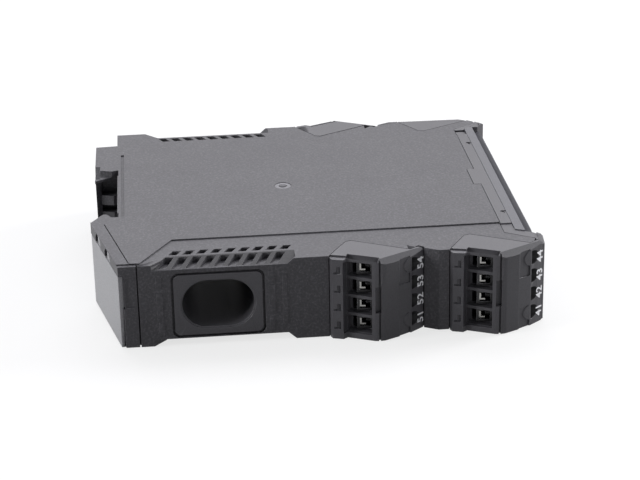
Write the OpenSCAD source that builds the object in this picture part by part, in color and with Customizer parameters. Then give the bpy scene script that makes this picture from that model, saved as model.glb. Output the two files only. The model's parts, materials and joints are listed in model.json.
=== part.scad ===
// Current transducer in a DIN-rail housing, lying on its large side.
// Drawing axes: X from the rail side to the front, Y across the rail, Z along the rail.
// The parts are drawn with the rail side at X = 0 and the near narrow face at Y = 0.

/* [Housing] */
// Depth from the rail foot to the front
depth = 114.5; // [114.5:0.5:116]
// Height across the rail, between the two narrow faces
height = 99; // [99:0.5:101]
// Width along the rail
width = 22.5; // [22.5:0.1:23.5]
// Thickness of the moulded walls
wall = 1.6; // [1.4:0.1:1.8]
// Depth of the step around the raised middle of the upper large side
panel_step = 0.35; // [0.2:0.05:0.5]

/* [Rail foot] */
// Width of the mounting rail
rail_w = 35; // [34.8:0.1:35.2]
// Depth of the rail recess
foot_d = 7; // [6.8:0.1:7.2]
// Thickness of the light foot plate
plate_t = 1.0; // [0.8:0.1:1.2]

/* [Conductor window] */
// Long side of the oval window
window_w = 18.2; // [16:0.2:18.4]
// Short side of the oval window
window_h = 12.6; // [11:0.2:12.8]
// Distance of the window's centre from the rail side
window_x = 31.7; // [31.2:0.1:32.2]

/* [Vents] */
// Number of louvres in a row
vent_n = 9; // [5:1:9]
// Distance from louvre to louvre
vent_pitch = 3.5; // [3.4:0.02:3.54]
// Width of a louvre
vent_w = 2.1; // [1.6:0.1:2.2]

/* [Terminals] */
// Number of poles in a plug
poles = 4; // [4:1:4]
// Distance from pole to pole
pole_pitch = 5.0; // [4.9:0.05:5.08]
// Distance from one plug bay to the next
bay_pitch = 30.6; // [30.2:0.1:30.8]
// Radius of the screwdriver holes
driver_r = 1.85; // [1.6:0.05:1.9]

/* [Hidden] */
$fn = 48;
eps = 0.01;
mid_y = height / 2;
mid_z = width / 2;
gap = 0.15;
fit = 0.05;

// Rail recess
rail_play = 0.3;
rail_near = mid_y - 16.4;
rail_far = rail_near + rail_w + rail_play;
nose = 2.4;
slot_x = foot_d - 1.5;
slot_deep = 2.2;
seat_step = 0.3;
far_foot_end = rail_far + 19.9;
hook_tip = 3.8;

// Plug bays: start of the first bay, and where the side plates end
bay_1 = depth - 55.1;
bay_2 = bay_1 + bay_pitch;
side_end = depth - 8.7;
frame_x = side_end + 0.1;
front_wall_x = depth - 6.9;
cover_x = depth - 5.6;
cover_front = depth - 1.2;
// The outer corners of the front frame stand out a little
corner_x = depth + 0.7;

// Window parts
window_z = 10.85;
bezel_w = window_w + 4.1;
bezel_h = window_h + 3.8;
bezel_r = 1.5;
tube_t = 1.1;

// Vents
vent_x0 = 18.5;
vent_lean = 27;
scoop_y = 5.3;
scoop_z = 1.8;
scoop_x0 = 15.2;
scoop_x1 = 49.4;

// Boards
board_z = 1.8;
board_t = 1.2;
board_top = board_z + board_t;

// Angle of a plug's axis from X, as the wire enters
plug_a = 61.4;
// Wire opening, mating face and clamp, measured from the start of a bay
entry = [7.35, -2.5];
mate = [12.5, 6.35];
clamp = [9.6, 1.7];
// Angle of the clamp screws from X
screw_a = -9;

// Hinge of the front cover
hinge = [depth - 3.4, height - 10.8];
hinge_r = 2.2;
hinge_pin_r = 0.8;

// Front controls
switch_y = mid_y;
slider_pitch = 2.54;
slider_travel = 0.9;
zero_y = mid_y - 17;
span_y = mid_y + 17;
light_y = mid_y - 28.5;
// Hooks of the front frame, from the near face
hook_y = 24.2;
trimmer_z = board_top + 3.4;
switch_z = board_top + 4.2;

plastic = [0.17, 0.17, 0.175];
smooth = [0.24, 0.24, 0.25];
light = [0.62, 0.61, 0.62];
metal = [0.75, 0.75, 0.76];
dark_metal = [0.3, 0.3, 0.32];
copper = [0.72, 0.42, 0.2];
green = [0.08, 0.3, 0.16];
black = [0.05, 0.05, 0.055];
red = [0.6, 0.05, 0.04];
blue = [0.1, 0.2, 0.45];
white = [0.85, 0.85, 0.83];

// Helpers

module place() {
  translate([-depth / 2, -mid_y, 0]) children();
}

// The far side is the near side turned over the middle of the height
module far_side() {
  translate([0, height, 0]) mirror([0, 1, 0]) children();
}

// The upper face is drawn like the lower one and turned over
module top_face() {
  translate([0, 0, width]) mirror([0, 0, 1]) children();
}

module both_faces() {
  children();
  top_face() children();
}

module slab(z0, z1) {
  translate([0, 0, z0]) linear_extrude(z1 - z0) children();
}

module box(a, b) {
  translate(a) cube(b - a);
}

// Rectangle with round corners, about its centre
module round_rect(w, h, r) {
  square([w - 2 * r, h], center = true);
  square([w, h - 2 * r], center = true);
  for (x = [-1, 1], y = [-1, 1])
    translate([x * (w / 2 - r), y * (h / 2 - r)]) circle(r);
}

// Oval with straight long sides, about its centre
module oval(w, h) {
  square([w - h, h], center = true);
  for (x = [-1, 1]) translate([x * (w - h) / 2, 0]) circle(h / 2);
}

// Cuts a bevel of width w and height h along the upper edge over the line from a to b
module edge_bevel(a, b, w, h, z) {
  d = b - a;
  l = norm(d);
  translate([a[0], a[1], z]) rotate([0, 0, atan2(d[1], d[0])]) translate([-0.6, 0, 0])
    rotate([90, 0, 90]) linear_extrude(l + 1.2)
      polygon([[-2, 0.5], [-2, -h - 2 * h / w], [0, -h], [w, 0], [w + 0.5 * w / h, 0.5]]);
}

// Removes what lies above a plane that meets height z on the line from a to b and falls away to its right
module slope_cut(a, b, slope, z) {
  d = b - a;
  translate([a[0], a[1], z]) rotate([0, 0, atan2(d[1], d[0])]) translate([-4, 0, 0])
    rotate([90, 0, 90]) linear_extrude(norm(d) + 8)
      polygon([[-6, -6 * slope], [0, 0], [2, 2 * slope], [-6, 2 * slope]]);
}

// A child drawn in the X, Z plane becomes a bar from y0 to y1
module along_y(y0, y1) {
  translate([0, y1, 0]) rotate([90, 0, 0]) linear_extrude(y1 - y0) children();
}

// Housing

function bay_edge(x) = [for (p = [[0.2, 0], [0.75, 1.25], [5.3, 8.85], [6.8, 9.45], [21.1, 1.65],
  [23.3, 3.75], [24.7, 2.9], [24.7, 1.95], [28.2, 0]]) [x + p[0], p[1]]];
function bay_core(x) = [for (p = [[-1.6, 1.6], [3.9, 10.7], [6.2, 11.6], [21.3, 3.4],
  [23.0, 5.4], [25.9, 4.0], [29.0, 1.6]]) [x + p[0], p[1]]];

// Near half of the outline, from the rail side to the front
module near_outline() {
  last = bay_edge(bay_2);
  polygon(concat(
    [[0, mid_y], [0, 29.9], [foot_d, 0]],
    bay_edge(bay_1),
    [for (i = [0:4]) last[i]],
    [[depth - 2.1, 2.9], [depth - 1.5, 4.4], [side_end, 9.1], [side_end, mid_y]]));
}

module near_cavity() {
  last = bay_core(bay_2);
  polygon(concat(
    [[foot_d + wall, mid_y], [foot_d + wall, 14], [13.4, wall]],
    bay_core(bay_1),
    [for (i = [0:2]) last[i]],
    [[side_end - 0.6, 6.7], [side_end + 1, 9.2], [side_end + 1, mid_y]]));
}

// Removed in front of the rail, with the nose of the near foot left standing
module rail_recess() {
  polygon([[-1, 30.9], [0.2, 30.2], [1.6, rail_near - 0.4], [2.5, rail_near + 1.3],
    [3.4, rail_near + nose], [4.3, rail_near + nose - 0.2], [slot_x, rail_near],
    [foot_d + seat_step, rail_near], [foot_d + seat_step, rail_near + 2.9], [foot_d, rail_near + 2.9],
    [foot_d, rail_far - 4.4], [foot_d + seat_step, rail_far - 4.4], [foot_d + seat_step, rail_far - eps],
    [foot_d, rail_far - eps], [foot_d, height + 1], [-1, height + 1]]);
}

// Far foot: outline through a rib, behind the gaps, through the hook plates and along the outer wall
module far_foot_rib() {
  polygon([[foot_d + eps, far_foot_end + 0.4], [0.9, far_foot_end], [0.8, rail_far + 0.5],
    [2.2, rail_far + 0.4], [slot_x, rail_far - 0.6], [foot_d + eps, rail_far]]);
}

module far_foot_back() {
  polygon([[foot_d + eps, far_foot_end + 0.4], [0.9, far_foot_end], [0.85, rail_far + 3.2],
    [foot_d + eps, rail_far + 3.2]]);
}

module far_foot_hook() {
  polygon([[foot_d, rail_far + 3.3], [0.85, rail_far + 3.3], [0.7, rail_far - hook_tip],
    [slot_x - 0.4, rail_far - 1.0], [slot_x - 0.1, rail_far - 0.9], [slot_x - 0.1, rail_far + slot_deep],
    [foot_d, rail_far + slot_deep]]);
}

module far_foot_wall() {
  polygon([[0.9, rail_far + 3.3], [0.75, rail_far - 0.5], [2.2, rail_far + 0.4], [2.2, rail_far + 3.3]]);
}

module far_foot() {
  difference() {
    union() {
      slab(0, width) far_foot_back();
      slab(0, width) far_foot_wall();
      both_faces() {
        slab(0, wall) far_foot_rib();
        slab(7.4, 10.2) far_foot_rib();
        slab(wall, wall + 0.8) far_foot_hook();
      }
    }
    // The outer wall slopes down to the hook plates
    both_faces() translate([-1, rail_far + 3.6, width]) rotate([29, 0, 0])
      translate([0, -6, 0]) cube([3.2, 6, 3]);
  }
}

// Slanted outer face of the near foot: local X runs up the face, local Y points outwards
module on_foot_face() {
  translate([foot_d, 0, 0]) rotate([0, 0, 90 + atan2(foot_d, 29.9)]) children();
}

foot_l = norm([foot_d, 29.9]);
plate_top = 19.5;
clip_s = [11.65, 22.3];
clip_w = 5.8;

module clip_window() {
  difference() {
    box([-clip_w / 2, -1.9, plate_top - 0.3], [clip_w / 2, 1, width - 0.35]);
    for (x = [-1, 1]) translate([x * clip_w / 2, 0, width - 0.35])
      rotate([0, 45, 0]) cube([1.7, 8, 1.7], center = true);
  }
}

module foot_cuts() {
  // Seat of the light plate, with its two clip windows and the slot for its bent end
  on_foot_face() {
    box([-2, -plate_t - fit, -1], [foot_l + 2, 3, plate_top]);
    for (s = clip_s) translate([s, 0, 0]) clip_window();
    box([0.25, -2.9, 10.6], [1.45, 0, 19.3]);
  }
  box([7.75, -1, 10.6], [8.3, 1.6, 19.3]);
  // Shallow field on its narrow face
  box([8.6, -1, 11.1], [11.6, 0.18, 19.3]);
  // Slit that frees the springy arm of the foot
  slab(-1, width + 1) polygon([[3.5, 28.3], [9.5, 2.1], [9.95, 1.1], [11.5, 0.95], [11.5, -1],
    [11.85, -1], [11.85, 1.25], [10.1, 1.4], [9.75, 2.2], [3.72, 28.4]]);
}

// Louvre: a leaning slot through the scooped edge, with a bar left across it
module louvre(x, y) {
  lean = tan(vent_lean);
  for (span = [[0.6, y - 0.5, scoop_z + 0.15], [y + 0.9, y + 3.3, wall + panel_step + 1]])
    slab(-1, span[2]) polygon([[x + lean * span[0], span[0]], [x + vent_w + lean * span[0], span[0]],
      [x + vent_w + lean * span[1], span[1]], [x + lean * span[1], span[1]]]);
}

// Scoop along the edge, y wide and starting at depth step, with its louvres
module vent_cuts(y, step) {
  difference() {
    translate([0, 0, -1]) rotate([90, 0, 90]) translate([0, 0, scoop_x0 - 2])
      linear_extrude(scoop_x1 - scoop_x0 + 4)
        polygon([[-2, 0], [y, 0], [y, 1 + step], [0, 1 + scoop_z], [-2, 1 + scoop_z]]);
    translate([scoop_x0, 0, -2]) rotate([0, 0, -42]) box([-12, -6, 0], [0, 8, 6]);
    translate([scoop_x1 + scoop_z, 0, 0]) rotate([0, 0, -27]) rotate([0, -45, 0])
      box([0, -7, -9], [12, 14, 9]);
  }
  for (i = [0:vent_n - 1]) louvre(vent_x0 - 2 + i * vent_pitch, y);
}

// Inner thickening behind the grooves of the scoop
module vent_backing() {
  slab(0, scoop_z + 1.3) translate([scoop_x0 - 3, wall - eps]) square([scoop_x1 - scoop_x0 + 5, 4.5]);
}

// Steps and grooves on the upper large side
module face_cuts() {
  // Lower border all round the raised middle
  slab(-1, panel_step) difference() {
    translate([-2, -8]) square([depth + 6, height + 16]);
    polygon([[foot_d - 10, 1.2], [12.4, 1.2], [20.8, 15.5], [side_end + 0.5, 15.5],
      [side_end + 0.5, height - 15.5], [20, height - 15.5], [13.4, height - 1.2],
      [foot_d - 10, height - 1.2]]);
  }
  // Groove beside the rail recess
  slab(-1, panel_step) translate([foot_d + 1, rail_near]) square([0.9, rail_w + 12.5]);
  // Mould mark
  translate([bay_1 - 7.3, mid_y + 0.5, -1]) difference() {
    cylinder(r = 2.3, h = 1.15);
    translate([0, 0, -1]) cylinder(r = 0.9, h = 4);
  }
}

// Low pads on the near narrow face
module narrow_face_pads() {
  for (m = [[16.1, 16.0, 17.6, 18.9], [16.2, 7.5, 17.8, 14.5], [16.6, 3.0, 18.0, 6.3],
      [44.3, 16.1, 45.8, 18.9], [44.4, 7.5, 46.1, 15.2], [44.5, 3.0, 45.8, 6.0], [47.8, 4.6, 49.1, 17.8]])
    box([m[0], -0.2, m[1]], [m[2], 0.5, m[3]]);
}

module window_opening() {
  translate([window_x, 0, window_z]) {
    along_y(-1, 1.0) round_rect(bezel_w + 1.2, bezel_h + 1.2, bezel_r + 0.4);
    along_y(-1, 3) oval(window_w + 2 * tube_t + 2 * gap, window_h + 2 * tube_t + 2 * gap);
  }
}

// Opening from a bay to its header behind the mating face
module header_opening(x) {
  translate([x + mate[0], mate[1], 0]) rotate([0, 0, plug_a - 90])
    box([-2.75, -2, wall + 0.2], [2.75, 3, width - wall - 0.2]);
}

// The housing slopes away behind the head of the first plug
module head_relief() {
  slope_cut([bay_1 + 20.9, 4.8], [bay_1 + 25.0, 1.2], 0.8, width);
}

// Hook pocket that holds the front frame
module frame_hook_pockets() {
  for (y = [hook_y - 0.2, height - hook_y + 0.3 - 5.1])
    box([side_end - 2.6, y, wall - 0.7], [side_end - 1.4, y + 5, wall + eps]);
}

module side_outline() {
  difference() {
    union() {
      near_outline();
      far_side_2d() near_outline();
    }
    rail_recess();
  }
}

module far_side_2d() {
  translate([0, height]) mirror([0, 1]) children();
}

module housing() {
  color(plastic) place() {
    difference() {
      union() {
        slab(0, width) side_outline();
        far_foot();
      }
      difference() {
        slab(wall, width - wall) {
          near_cavity();
          far_side_2d() near_cavity();
        }
        both_faces() {
          vent_backing();
          far_side() vent_backing();
        }
      }
      foot_cuts();
      vent_cuts(scoop_y, 0);
      far_side() vent_cuts(scoop_y - 1.2, 0);
      top_face() {
        vent_cuts(scoop_y, panel_step);
        far_side() vent_cuts(scoop_y - 1.2, panel_step);
        face_cuts();
      }
      for (s = [0, 1]) translate([0, s * height, 0]) mirror([0, s, 0]) intersection() {
        head_relief();
        box([bay_1 + 20.6, -1, 10], [bay_1 + 25.6, 4.9, width + 1]);
      }
      both_faces() {
        frame_hook_pockets();
        // The front frame's tab lies in a notch of the side
        box([side_end - 2, mid_y - 6, -1], [side_end + 1, mid_y + 5.8, wall + 1]);
      }
      window_opening();
      far_side() window_opening();
      header_opening(bay_1);
      header_opening(bay_2);
      far_side() header_opening(bay_1);
    }
    narrow_face_pads();
    // Bosses under the main board
    for (x = [bay_1 - 8.4, bay_2 + 10], y = [18, height - 18])
      translate([x, y, wall - 0.3]) cylinder(r = 2, h = board_z - wall + 0.3);
  }
}

// Front

module frame_corner() {
  polygon([[frame_x, 9.25], [depth - 1.35, 4.45], [depth - 1.5, 3.45], [depth + 0.1, 2.75],
    [corner_x, 3.2], [corner_x, 5.9], [depth - 1.7, 8.5], [cover_x, 10.2], [cover_x, 12], [frame_x, 12]]);
}

module frame_outline() {
  frame_corner();
  difference() {
    far_side_2d() frame_corner();
    translate(hinge) circle(hinge_r + 0.25);
    // Room for the open cover
    translate([hinge[0], hinge[1] - 1]) square([6, hinge_r + 1.45]);
    translate([0, height - 12.6]) square([depth + 2, 2.2]);
  }
  translate([frame_x, 11.9]) square([cover_x - gap - frame_x, height - 23.8]);
}

// Hooks that hold the frame in pockets of the housing
module frame_hooks() {
  both_faces() for (y = [hook_y, height - hook_y - 4.6]) {
    box([side_end - 2.5, y, wall + fit], [frame_x + 1.4, y + 4.6, wall + 1.1]);
    box([frame_x, y, wall - eps], [frame_x + 1.4, y + 4.6, wall + 0.2]);
    box([side_end - 2.5, y, wall - 0.6], [side_end - 1.5, y + 4.6, wall + fit + eps]);
  }
}

module front_frame() {
  color(smooth) place() frame_hooks();
  color(smooth) place() difference() {
    union() {
      slab(0, width) frame_outline();
      both_faces() box([side_end - 1.9, mid_y - 5.9, 0], [frame_x + eps, mid_y + 5.7, wall]);
      // Lug between the ears of the cover
      slab(5.2, width - 5.2) difference() {
        union() {
          translate(hinge) circle(hinge_r - 0.3);
          translate([cover_x - 0.4, hinge[1] - 1.7]) square([2.6, 3.4]);
        }
        translate([cover_front, hinge[1] - 5]) square([4, 10]);
      }
    }
    // Hollow behind the front wall
    box([frame_x - 1, 10.8, wall], [front_wall_x, height - 10.8, width - wall]);
    // Bore for the hinge pin
    translate([hinge[0], hinge[1], 4]) cylinder(r = hinge_pin_r + 0.04, h = width - 8);
    // Openings for the switch, the trimmers and the light
    box([front_wall_x - 1, switch_y - 5.7, switch_z - 3.2], [cover_x + 1, switch_y + 5.7, switch_z + 3.2]);
    for (y = [zero_y, span_y]) translate([front_wall_x - 1, y, trimmer_z]) rotate([0, 90, 0])
      cylinder(r = 2.2, h = 4);
    translate([front_wall_x - 1, light_y, mid_z]) rotate([0, 90, 0]) cylinder(r = 1.6, h = 4);
    // Small clip windows on the seam to the cover
    both_faces() for (y = [22.6, height - 22.6]) {
      box([cover_x - 1.5, y, -1], [cover_x + 1, y + 0.7, 1.2]);
      translate([cover_x - 1.5, y + 0.4, -1]) rotate([0, 0, -62]) cube([1.6, 0.45, 2.0]);
    }
    // Border of the raised middle runs on to the frame
    top_face() slab(-1, panel_step) difference() {
      translate([side_end - 4, -1]) square([12, height + 2]);
      translate([side_end - 3, 14.6]) square([cover_x - side_end + 3, height - 29.2]);
    }
    // Its corners slope down over the outer poles
    for (s = [0, 1]) translate([0, s * height, 0]) mirror([0, s, 0])
      slope_cut([depth - 4.5, 0.2], [depth + 0.2, 6.4], 0.6, width);
  }
}

module cover_outline() {
  near = 10.35;
  difference() {
    union() {
      polygon([[cover_x, near + 0.1], [cover_front - 0.55, 8.75], [cover_front - 0.1, 9.0],
        [cover_front, 12], [cover_front, hinge[1]], [cover_x, hinge[1]]]);
      translate(hinge) circle(hinge_r);
    }
    translate([cover_x - 4, near - 2]) square([4, height]);
  }
}

module front_cover() {
  color(light) place() difference() {
    union() {
      difference() {
        slab(0.1, width - 0.1) cover_outline();
        // Hollow inside of the cover, with room for the controls
        box([cover_x - 1, 13, 1.9], [cover_front - 1.5, height - 16.5, width - 1.9]);
      }
    }
    // Room for the frame's lug
    slab(4.9, width - 4.9) {
      translate(hinge) circle(hinge_r + 0.3);
      translate([cover_x - 1, hinge[1] - 2.4]) square([3, 6]);
    }
    // Blind bores for the pin in both ears
    translate([hinge[0], hinge[1], 1.2]) cylinder(r = hinge_pin_r + 0.04, h = width - 2.4);
    // Rounded outer edges
    both_faces() edge_bevel([cover_front, height], [cover_front, 5], 1.1, 0.9, width - 0.1);
    // Finger notch at the near end
    translate([cover_front, 9, mid_z]) rotate([90, 0, 0]) cylinder(r = 3.2, h = 3, center = true);
  }
}

module cover_pin() {
  color(metal) place() translate([hinge[0], hinge[1], 1.3]) cylinder(r = hinge_pin_r, h = width - 2.6);
}

module foot_plate() {
  color(light) place() on_foot_face() {
    box([0.25, -plate_t, 0.15], [foot_l - 0.35, 0, plate_top - 0.15]);
    for (s = clip_s) {
      box([s - 1.5, -plate_t, plate_top - 0.3], [s + 1.5, -0.35, plate_top + 1.9]);
      translate([s, -1.3, plate_top + 1.2]) cube([2.2, 0.9, 0.6], center = true);
    }
    box([0.35, -2.75, 11], [1.05, -plate_t + eps, 19]);
  }
}

// Conductor window

module window_sleeve() {
  color(smooth) place() translate([window_x, 0, window_z]) difference() {
    union() {
      along_y(0, 0.95) round_rect(bezel_w, bezel_h, bezel_r);
      along_y(0.5, height - 1.05) oval(window_w + 2 * tube_t, window_h + 2 * tube_t);
    }
    along_y(-1, height + 1) oval(window_w, window_h);
    translate([0, 0, 0]) along_y(-1, 0.35) oval(window_w + 0.7, window_h + 0.7);
  }
}

module window_cap() {
  color(smooth) place() far_side() translate([window_x, 0, window_z]) difference() {
    along_y(0, 0.95) round_rect(bezel_w, bezel_h, bezel_r);
    along_y(-1, height + 1) oval(window_w, window_h);
  }
}

// Measuring system around the window

core_y0 = 41;
core_y1 = 55;
core_t = 1.25;
core_left = window_x - 15.4;
core_right = window_x + 11.6;
core_low = window_z - 8.85;
core_high = window_z + 9.1;
gap_z = window_z;

module magnetic_core() {
  color(dark_metal) place() difference() {
    translate([(core_left + core_right) / 2, 0, (core_low + core_high) / 2]) along_y(core_y0, core_y1)
      difference() {
        round_rect(core_right - core_left, core_high - core_low, 2.6);
        round_rect(core_right - core_left - 2 * core_t, core_high - core_low - 2 * core_t, 1.4);
      }
    box([core_right - 3, core_y0 - 1, gap_z - 0.8], [core_right + 1, core_y1 + 1, gap_z + 0.8]);
  }
}

bobbin_y = (core_y0 + core_y1) / 2;
bobbin_h = 12.4;

module limb_box(x_out, y_out, z0, z1) {
  box([core_left - x_out, core_y0 - y_out, z0], [core_left + core_t + x_out, core_y1 + y_out, z1]);
}

module coil_bobbin() {
  z0 = window_z - bobbin_h / 2;
  color(black) place() difference() {
    union() {
      limb_box(0.75, 0.75, z0, z0 + bobbin_h);
      limb_box(2.6, 2.6, z0, z0 + 0.8);
      limb_box(2.6, 2.6, z0 + bobbin_h - 0.8, z0 + bobbin_h);
    }
    limb_box(0.1, 0.1, z0 - 1, z0 + bobbin_h + 1);
  }
}

module coil_winding() {
  z0 = window_z - bobbin_h / 2 + 0.85;
  color(copper) place() difference() {
    translate([core_left + core_t / 2, bobbin_y, z0])
      linear_extrude(bobbin_h - 1.7) round_rect(core_t + 4.8, core_y1 - core_y0 + 4.8, 1.6);
    limb_box(0.8, 0.8, z0 - 1, z0 + bobbin_h);
  }
}

sensor_x = core_right + 1.2;

module hall_sensor() {
  color(black) place() {
    box([core_right - core_t + 0.05, bobbin_y - 2.2, gap_z - 0.7],
      [sensor_x - 0.1, bobbin_y + 2.2, gap_z + 0.7]);
    for (y = [-1.27, 0, 1.27])
      translate([sensor_x + 1, bobbin_y + y, gap_z]) cube([2.4, 0.4, 0.4], center = true);
  }
}

module sensor_board() {
  color(green) place() difference() {
    box([sensor_x, bobbin_y - 8, board_top + fit], [sensor_x + 1.4, bobbin_y + 8, 18.5]);
    for (y = [-1.27, 0, 1.27])
      translate([sensor_x + 1, bobbin_y + y, gap_z]) cube([4, 0.5, 0.5], center = true);
  }
}

// Electronics

board_x0 = sensor_x - 0.6;
board_x1 = front_wall_x - 0.6;

module main_board() {
  color(green) place() slab(board_z, board_top) difference() {
    polygon([[board_x0, 14], [bay_1 + 13.4, 14], [bay_1 + 13.4, 9], [bay_1 + 20, 9], [bay_1 + 20, 14],
      [bay_2 + 13.4, 14], [bay_2 + 13.4, 9], [bay_2 + 15.6, 9], [bay_2 + 15.6, 11], [board_x1, 11],
      [board_x1, height - 14], [bay_1 + 20, height - 14], [bay_1 + 20, height - 9],
      [bay_1 + 13.4, height - 9], [bay_1 + 13.4, height - 14], [board_x0, height - 14]]);
    // Notches for the hooks of the front frame
    for (y = [hook_y, height - hook_y - 4.6]) translate([side_end - 2.8, y - 0.3]) square([6, 5.2]);
    // Soldered pins pass through
    for (x = [bay_1, bay_2]) pin_legs_2d(x, fit);
    far_side_2d() pin_legs_2d(bay_1, fit);
  }
}

// Middle of the transformer
part_x = bay_1 + 8.6;

module transformer() {
  color([0.16, 0.14, 0.12]) place() {
    box([part_x - 8, mid_y - 9, board_top], [part_x + 8, mid_y + 9, board_top + 2.2]);
    box([part_x - 6.5, mid_y - 6.5, board_top + 2.2], [part_x + 6.5, mid_y + 6.5, board_top + 11.5]);
    box([part_x - 8, mid_y - 8, board_top + 4], [part_x + 8, mid_y + 8, board_top + 9.6]);
  }
}

module capacitor(x, y, r, h) {
  translate([x, y, board_top]) {
    cylinder(r = r, h = h);
    cylinder(r = r + 0.25, h = 0.8);
  }
}

module capacitors() {
  color([0.12, 0.13, 0.16]) place() {
    capacitor(part_x + 16, mid_y - 8, 4, 11);
    capacitor(part_x + 16, mid_y + 3, 4, 11);
    capacitor(part_x + 16, mid_y + 14, 4, 11);
    capacitor(part_x - 12, mid_y - 21, 3.1, 8);
    capacitor(part_x - 12, mid_y + 21, 3.1, 8);
  }
}

module chip(x, y, w, l, h) {
  box([x - w / 2, y - l / 2, board_top], [x + w / 2, y + l / 2, board_top + h]);
  for (s = [-1, 1], k = [0:floor(l / 1.27) - 1])
    translate([x + s * (w / 2 + 0.45), y - l / 2 + 0.8 + k * 1.27, board_top + h / 2 - 0.3])
      cube([0.95, 0.45, h - 0.6], center = true);
}

module chips() {
  color(black) place() {
    chip(part_x, 24, 6, 10, 2);
    chip(part_x, height - 24, 6, 10, 2);
    chip(part_x + 12, 24, 5, 6, 1.8);
    chip(part_x + 26, mid_y, 8, 13, 2.2);
    chip(part_x + 26, mid_y + 24, 6, 9, 2);
    chip(part_x + 24, 26, 5, 8, 1.8);
  }
}

module status_light() {
  color(red) place() {
    box([front_wall_x - 6.6, light_y - 1.5, board_top], [front_wall_x - 4.2, light_y + 1.5, mid_z + 1.6]);
    translate([front_wall_x - 4.3, light_y, mid_z]) rotate([0, 90, 0])
      cylinder(r = 1.45, h = cover_x - front_wall_x + 4.05);
  }
}

slot_h = 1.3 + slider_travel;

module slider_slot(k) {
  y = switch_y + (k - 1.5) * slider_pitch;
  box([front_wall_x - 2.7, y - 0.65, switch_z - slot_h / 2 - 0.1],
    [front_wall_x + 2.4, y + 0.65, switch_z + slot_h / 2 + 0.1]);
}

module dip_switch() {
  color(blue) place() difference() {
    box([front_wall_x - 5, switch_y - 5.4, board_top], [front_wall_x - 0.1, switch_y + 5.4, switch_z + 2.9]);
    for (k = [0:3]) slider_slot(k);
  }
}

module dip_slider(k) {
  y = switch_y + (k - 1.5) * slider_pitch;
  z = switch_z - slider_travel / 2;
  color(white) place() {
    box([front_wall_x - 2.6, y - 0.6, z - 0.65], [front_wall_x - 0.7, y + 0.6, z + 0.65]);
    box([front_wall_x - 0.8, y - 0.6, z - 0.5], [front_wall_x + 0.6, y + 0.6, z + 0.5]);
  }
}

module dip_slider_1() { dip_slider(0); }
module dip_slider_2() { dip_slider(1); }
module dip_slider_3() { dip_slider(2); }
module dip_slider_4() { dip_slider(3); }

rotor_r = 1.7;

module trimmer(y) {
  color(blue) place() difference() {
    box([front_wall_x - 5.4, y - 3.3, board_top], [front_wall_x - 0.3, y + 3.3, trimmer_z + 3.3]);
    translate([front_wall_x - 2.4, y, trimmer_z]) rotate([0, 90, 0]) cylinder(r = rotor_r + fit, h = 4);
  }
}

module rotor(y) {
  color(white) place() difference() {
    translate([front_wall_x - 2.3, y, trimmer_z]) rotate([0, 90, 0]) cylinder(r = rotor_r, h = 2.9);
    translate([front_wall_x + 0.4, y, trimmer_z]) cube([1.0, 0.6, 2.6], center = true);
  }
}

module zero_trimmer() { trimmer(zero_y); }
module zero_rotor() { rotor(zero_y); }
module span_trimmer() { trimmer(span_y); }
module span_rotor() { rotor(span_y); }

// Terminals, drawn from the start of a bay on the near side

function pole_z(k) = mid_z + (k - (poles - 1) / 2) * pole_pitch;

module pole_row() {
  for (k = [0:poles - 1]) translate([0, 0, pole_z(k)]) children();
}

// Children lie in a frame at p whose X axis runs inwards along the plug
module on_axis(p) {
  translate([p[0], p[1], 0]) rotate([0, 0, plug_a]) children();
}

plug_pts = [[0.4, -0.1], [0.9, 1.1], [5.4, 8.65], [6.85, 9.2], [21.1, 1.4], [22.9, 2.9],
  [24.5, 2.4], [21.0, -0.5], [17.5, -2.6], [13.9, -4.4], [12.5, -4.6], [11.3, -4.4], [4.7, -1.3],
  [3.5, -2.2], [0.9, -1.35]];
cell_w = 6.9;
cell_h = 4.25;
field_deep = 0.9;
cage_w = 4.1;
cage_l = 4.4;
cage_h = 3.7;
cage_t = 0.65;
shank_r = 1.1;
head_r = 1.7;
head_x = 5.0;
pin_w = 1.0;
contact_h = 2.5;

// Children lie in a frame at the clamp whose X axis is the screw's
module on_screw() {
  translate([clamp[0], clamp[1], 0]) rotate([0, 0, screw_a]) children();
}

// The walls between the wire openings lie back in one field
module entry_field() {
  on_axis(entry) box([-3, -cell_w / 2 - 0.1, pole_z(0) - cell_h / 2 - 0.12],
    [field_deep, cell_w / 2 + 0.1, pole_z(poles - 1) + cell_h / 2 + 0.12]);
}

// Screwdriver hole; the wall in front of it stays up to the edge of the end face
module driver_hole() {
  difference() {
    on_screw() translate([head_x, 0, 0]) rotate([0, 90, 0]) cylinder(r = driver_r, h = 20);
    slab(-10, 10) polygon([[13, -6], [21.2, -2], [21.2, 0.15], [17.2, -2.1], [13, -4.2]]);
  }
}

// Low field on the front face round the boss of an end pole
module boss_field(z0, z1, pole) {
  difference() {
    slab(z0, z1) polygon([[17.8, -3.6], [17.8, -2.1], [21.3, 0.05], [21.6, -1.5]]);
    translate([0, 0, pole]) on_screw() translate([0, 0.55, 0]) rotate([0, 90, 0])
      cylinder(r = driver_r + 0.45, h = 20);
    slab(-1, width + 1) polygon([[20.75, 1], [20.75, -3], [24, -3], [24, 1]]);
  }
}

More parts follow.
